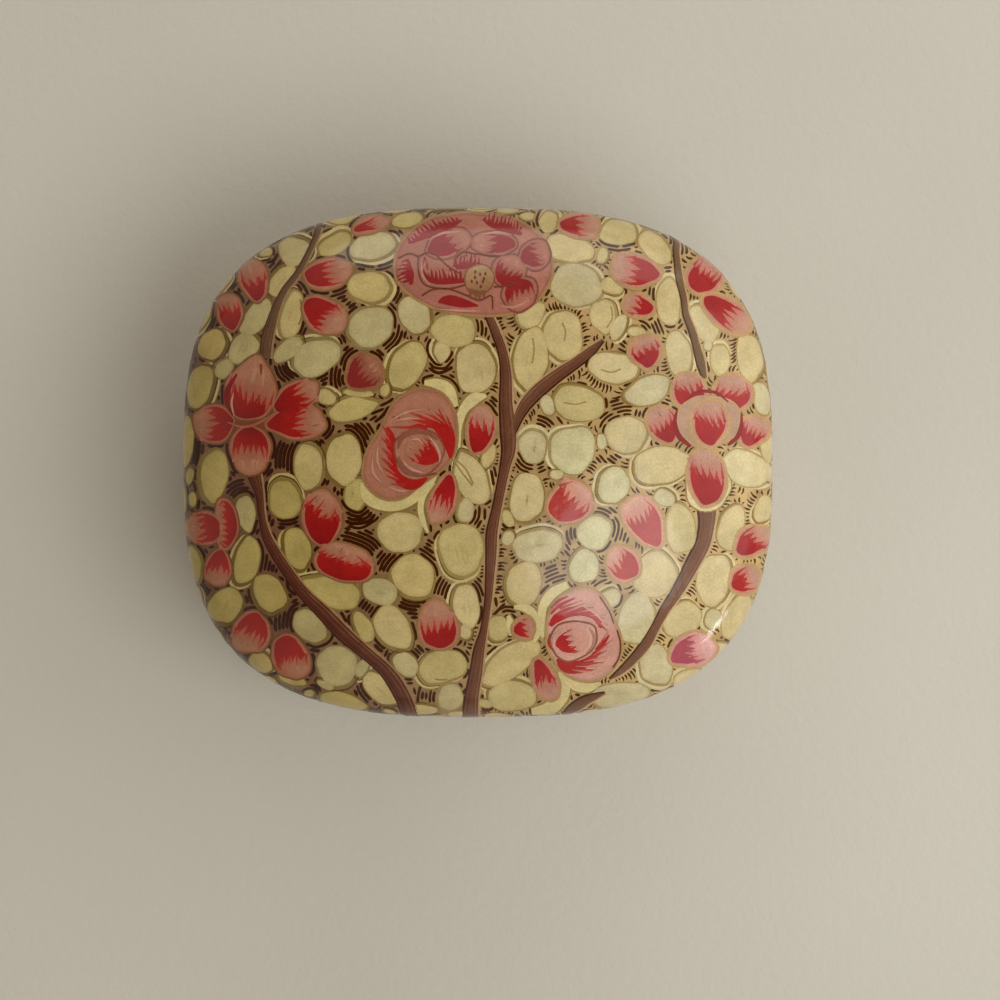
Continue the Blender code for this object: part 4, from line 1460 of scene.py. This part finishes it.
def make_paint_material():
    """Opaque body colour laid on by brush, each shape in its own tint, under lacquer."""
    material, tree, shader, coordinates = new_material("painted_lacquer_colours")
    tint = tree.nodes.new("ShaderNodeAttribute")
    tint.attribute_name = "tint"
    broad = ramp_node(tree, noise_node(tree, coordinates, 420, 3.0), [(0.38, 0.84), (0.62, 1.0)])
    grain = ramp_node(tree, noise_node(tree, coordinates, 3600, 2.0), [(0.4, 0.8), (0.6, 1.0)])
    warmth = [(0.35, (1.0, 0.96, 0.88)), (0.65, (1.0, 0.99, 0.94))]
    warm = ramp_node(tree, noise_node(tree, coordinates, 150, 1.0), warmth)
    colour = multiply_node(tree, tint.outputs["Color"], broad, 0.8)
    colour = multiply_node(tree, colour, grain, 0.7)
    colour = multiply_node(tree, colour, warm, 0.6)
    tree.links.new(colour, shader.inputs["Base Color"])
    brush_marks = noise_node(tree, coordinates, 1500, 3.0)
    tree.links.new(bump_node(tree, brush_marks, 0.00004, 0.4), shader.inputs["Normal"])
    lacquer(tree, shader, coordinates, 0.42, 1.0, 0.13)
    return material


def make_ground_material():
    """The tan ground that the painting leaves bare, under lacquer."""
    material, tree, shader, coordinates = new_material("tan_ground")
    split = tree.nodes.new("ShaderNodeSeparateXYZ")
    tree.links.new(coordinates, split.inputs["Vector"])
    across = tree.nodes.new("ShaderNodeMapRange")
    across.inputs["From Min"].default_value = -GROUND_TURNS * MM
    across.inputs["From Max"].default_value = GROUND_TURNS * MM
    slant = tree.nodes.new("ShaderNodeMath")
    slant.operation = "MULTIPLY_ADD"
    slant.inputs[1].default_value = -GROUND_SLANT / MM
    slant.inputs[2].default_value = 1.0
    tree.links.new(split.outputs["Y"], slant.inputs[0])
    turned = tree.nodes.new("ShaderNodeMath")
    turned.operation = "MULTIPLY"
    tree.links.new(split.outputs["X"], turned.inputs[0])
    tree.links.new(slant.outputs["Value"], turned.inputs[1])
    tree.links.new(turned.outputs["Value"], across.inputs["Value"])
    # Darker to the left across the lid, partly painted shade of the light from the right
    base = ramp_node(tree, across.outputs["Result"], [(0.0, GROUND[0]), (1.0, GROUND[1])])
    clouds = noise_node(tree, coordinates, 300, 4.0, 0.6)
    shade = ramp_node(tree, clouds, [(0.3, 0.62), (0.6, 1.0)])
    tree.links.new(multiply_node(tree, base, shade, 1.0), shader.inputs["Base Color"])
    lacquer(tree, shader, coordinates, 0.45, 1.0, 0.13)
    return material


def make_inside_material(name, dark, light, roughness):
    """Plain dark paint laid on by brush inside the box and under it."""
    material, tree, shader, coordinates = new_material(name)
    stretch = tree.nodes.new("ShaderNodeMapping")
    stretch.inputs["Scale"].default_value = (1.0, 1.0, 6.0)
    tree.links.new(coordinates, stretch.inputs["Vector"])
    streaks = noise_node(tree, stretch.outputs["Vector"], 180, 5.0, 0.6)
    stops = [(0.28, dark), (0.72, light)]
    tree.links.new(ramp_node(tree, streaks, stops), shader.inputs["Base Color"])
    rubs = noise_node(tree, coordinates, 500, 3.0)
    rough = ramp_node(tree, rubs, [(0.3, roughness), (0.7, roughness + 0.14)])
    tree.links.new(rough, shader.inputs["Roughness"])
    pulp = noise_node(tree, coordinates, 900, 4.0, 0.6)
    tree.links.new(bump_node(tree, pulp, 0.00012, 0.6), shader.inputs["Normal"])
    shader.inputs["Coat Weight"].default_value = 0.35
    shader.inputs["Coat Roughness"].default_value = 0.25
    return material


def add_ring(skin, inset, height, share=1.0):
    """A ring of vertices on the outline, set in from it and drawn in to a share."""
    ring = []
    for step in range(SHELL_SEGMENTS):
        angle = 2 * math.pi * step / SHELL_SEGMENTS
        far = share * float(reach(angle, HALF_LENGTH - inset, HALF_WIDTH - inset)) * MM
        ring.append(skin.verts.new((far * math.cos(angle), far * math.sin(angle), height * MM)))
    return ring


def join_rings(skin, rings, slots):
    """Skins each ring to the next, in the material slot given for that stretch."""
    for first, second, slot in zip(rings, rings[1:], slots):
        for step in range(SHELL_SEGMENTS):
            after = (step + 1) % SHELL_SEGMENTS
            face = skin.faces.new((first[step], first[after], second[after], second[step]))
            face.material_index = slot
            face.smooth = True


def cap_ring(skin, ring, height, slot):
    """Closes a ring with triangles that meet in the middle at a height."""
    middle = skin.verts.new((0, 0, height * MM))
    for step in range(SHELL_SEGMENTS):
        face = skin.faces.new((ring[step], ring[(step + 1) % SHELL_SEGMENTS], middle))
        face.material_index = slot
        face.smooth = True


def rounded(profile, rounding, steps=3):
    """A profile's points with each marked corner rounded: (inset, height, rounded or not)."""
    points = []
    count = len(profile)
    for index, (inset, height, turn) in enumerate(profile):
        if not turn:
            points.append((inset, height))
            continue
        here = Vector((inset, height))
        before = Vector(profile[index - 1][:2])
        after = Vector(profile[(index + 1) % count][:2])
        start = here + (before - here).normalized() * rounding
        end = here + (after - here).normalized() * rounding
        for step in range(steps + 1):
            t = step / steps
            points.append(tuple(start * (1 - t) ** 2 + here * 2 * t * (1 - t) + end * t**2))
    return points


def finish_shell(skin, name, materials, body, node):
    """Makes a shell's object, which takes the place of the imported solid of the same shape."""
    bmesh.ops.recalc_face_normals(skin, faces=skin.faces)
    mesh = bpy.data.meshes.new(name)
    skin.to_mesh(mesh)
    skin.free()
    for material in materials:
        mesh.materials.append(material)
    mesh.set_sharp_from_angle(angle=math.radians(50))
    piece = add_object(name, mesh)
    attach(piece, body)
    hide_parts(node)


def rim_profile(start, rim, end):
    """The wall's profile from its outside, round its rim with rounded corners, to its inside."""
    profile = [(0, start, False), (0, rim, True), (WALL, rim, True), (WALL, end, False)]
    return rounded(profile, RIM_ROUNDING)[1:]


def make_lid_skin(ground, inside):
    """The lid's shell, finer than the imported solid."""
    skin = bmesh.new()
    crown_rings = 40
    shares = [math.sin(math.pi / 2 * ring / crown_rings) for ring in range(2, crown_rings + 1)]
    rings = []
    slots = []
    for share in shares:
        rings.append(add_ring(skin, 0, CROWN_FOOT + float(crown_height(share)), share))
        slots.append(0)
    cap_ring(skin, rings[0], LID_TOP, 0)
    for inset, height in rim_profile(CROWN_FOOT, LID_RIM, CROWN_FOOT):
        rings.append(add_ring(skin, inset, height))
        slots.append(0 if inset < RIM_ROUNDING else 1)
    for share in shares[-2::-1]:
        height = CROWN_FOOT + float(crown_height(share)) * (CROWN_RISE - WALL) / CROWN_RISE
        rings.append(add_ring(skin, WALL, height, share))
        slots.append(1)
    join_rings(skin, rings, slots)
    cap_ring(skin, rings[-1], LID_TOP - WALL, 1)
    finish_shell(skin, "lid_ground", [ground, inside], "lid", "lid_shell")


def make_base_skin(ground, inside):
    """The base's side with its rounded foot and its ledge."""
    skin = bmesh.new()
    ledge = WALL + LEDGE_WIDTH
    profile = rounded([(ledge, LEDGE_THICKNESS, True), (ledge, 0, True)], LEDGE_ROUNDING)
    foot_rings = 10
    for ring in range(foot_rings + 1):
        turn = math.pi / 2 * ring / foot_rings
        profile.append((FOOT_RADIUS * (1 - math.sin(turn)), FOOT_RADIUS * (1 - math.cos(turn))))
    outer = len(profile)
    profile += rim_profile(FOOT_RADIUS, BASE_RIM, LEDGE_THICKNESS)
    rings = [add_ring(skin, inset, height) for inset, height in profile]
    slots = []
    for index, (inset, height) in enumerate(profile):
        painted = inset < FOOT_RADIUS * 0.8 and index < outer + 4
        slots.append(0 if painted else 1)
    join_rings(skin, rings + rings[:1], slots)
    finish_shell(skin, "base_ground", [ground, inside], "base", "base_wall")


def make_neck_skin(material):
    """The neck strip inside the base, its upper edge rounded by use."""
    skin = bmesh.new()
    outer = HALF_LENGTH - NECK_HIGH[0]
    inner = outer + NECK_WALL
    low, high = NECK_LOW[2], NECK_HIGH[2]
    profile = [(outer, low, True), (outer, high, True), (inner, high, True), (inner, low, True)]
    profile = rounded(profile, NECK_ROUNDING)
    rings = [add_ring(skin, inset, height) for inset, height in profile]
    join_rings(skin, rings + rings[:1], [0] * len(rings))
    finish_shell(skin, "neck_strip", [material], "base", "neck_collar")


def make_floor_skin(material):
    """The floor board, with its edges worn off."""
    skin = bmesh.new()
    inset = HALF_LENGTH - FLOOR_HIGH[0]
    low, high = FLOOR_LOW[2], FLOOR_HIGH[2]
    shares = (0.35, 0.7, 0.985)
    rings = [add_ring(skin, inset, low, share) for share in shares]
    rings += [add_ring(skin, inset, height) for height in (low + FLOOR_CHAMFER, high - FLOOR_CHAMFER)]
    rings += [add_ring(skin, inset, high, share) for share in shares[::-1]]
    join_rings(skin, rings, [0] * len(rings))
    cap_ring(skin, rings[0], low, 0)
    cap_ring(skin, rings[-1], high, 0)
    finish_shell(skin, "floor_board", [material], "base", "base_floor")


def paint_box(material):
    """All the painting on the lid and on the base."""
    dice = random.Random(7)
    lid_layers = {name: Paint("lid_" + name, "lid") for name in LAYERS}
    base_layers = {name: Paint("base_" + name, "base") for name in LAYERS}
    top = Brush(top_chart, lid_layers, dice)
    band = Brush(side_chart, lid_layers, dice)
    side = Brush(side_chart, base_layers, dice)
    paint_lid_top(top)
    paint_band_flowers(band)
    taken = np.vstack(points_of(top, True) + points_of(band, True))
    fill_with_leaves(band, taken, LID_RIM + 2.2, CROWN_FOOT + 7.0)
    paint_base_flowers(side)
    fill_with_leaves(side, np.vstack(points_of(side, True)), 2.6, BASE_RIM - 2.2)
    rim_line(band, LID_RIM + RIM_LINE_AWAY)
    rim_line(side, BASE_RIM - RIM_LINE_AWAY)
    Hatcher([top, band], lid_layers["hatching"], dice, (LID_RIM + 1.2, LID_TOP + 1)).hatch()
    Hatcher([side], base_layers["hatching"], dice, (0.8, BASE_RIM - 1.2)).hatch()
    for layers in (lid_layers, base_layers):
        for layer in layers.values():
            layer.make(material, "painted_lacquer")


def make_stage():
    """A pale, faintly textured floor."""
    bpy.ops.mesh.primitive_plane_add(size=4.0, location=(0, 0, 0))
    floor = bpy.context.object
    floor.name = "floor"
    material, tree, shader, coordinates = new_material("pale_paper")
    clouds = noise_node(tree, coordinates, 9, 3.0)
    paper = ramp_node(tree, clouds, [(0.35, FLOOR_COLOURS[0]), (0.65, FLOOR_COLOURS[1])])
    tree.links.new(paper, shader.inputs["Base Color"])
    shader.inputs["Roughness"].default_value = 0.9
    shader.inputs["Specular IOR Level"].default_value = 0.2
    fibres = noise_node(tree, coordinates, 620, 4.0, 0.6)
    tree.links.new(bump_node(tree, fibres, 0.0006, 0.2), shader.inputs["Normal"])
    floor.data.materials.append(material)


def area_light(name, place, size, power, colour):
    """A soft lamp that faces the box."""
    data = bpy.data.lights.new(name, "AREA")
    data.shape = "ELLIPSE"
    data.size, data.size_y = size
    data.energy = power
    data.color = colour
    lamp = add_object(name, data)
    lamp.location = place
    aim = Vector(LAMP_AIM) - Vector(place)
    lamp.rotation_euler = aim.to_track_quat("-Z", "Y").to_euler()


def make_camera_and_light():
    """The camera over the box, and soft daylight that comes mostly from the right."""
    data = bpy.data.cameras.new("camera")
    data.sensor_width = 36.0
    data.lens = data.sensor_width * CAMERA_HEIGHT / (PICTURE_PIXELS * PIXEL)
    data.clip_start = 0.01
    camera = add_object("camera", data)
    camera.location = (CAMERA_X * MM, CAMERA_Y * MM, (CROWN_FOOT + CAMERA_HEIGHT) * MM)
    bpy.context.scene.camera = camera
    for lamp in LAMPS:
        area_light(*lamp)
    world = bpy.data.worlds.new("room")
    world.use_nodes = True
    tree = world.node_tree
    split = tree.nodes.new("ShaderNodeSeparateXYZ")
    tree.links.new(tree.nodes.new("ShaderNodeTexCoord").outputs["Generated"], split.inputs["Vector"])
    room = ramp_node(tree, split.outputs["Z"], [(0.5, ROOM_GLOW), (0.95, (0.0, 0.0, 0.0))])
    tree.links.new(room, tree.nodes["Background"].inputs["Color"])
    bpy.context.scene.world = world
    bpy.context.scene.view_settings.view_transform = "Standard"


make_camera_and_light()
make_stage()
ground = make_ground_material()
inside = make_inside_material("inside_black", *INSIDE_BLACK, 0.38)
make_lid_skin(ground, inside)
make_base_skin(ground, inside)
make_neck_skin(make_inside_material("neck_brown", *NECK_BROWN, 0.32))
make_floor_skin(inside)
paint_box(make_paint_material())
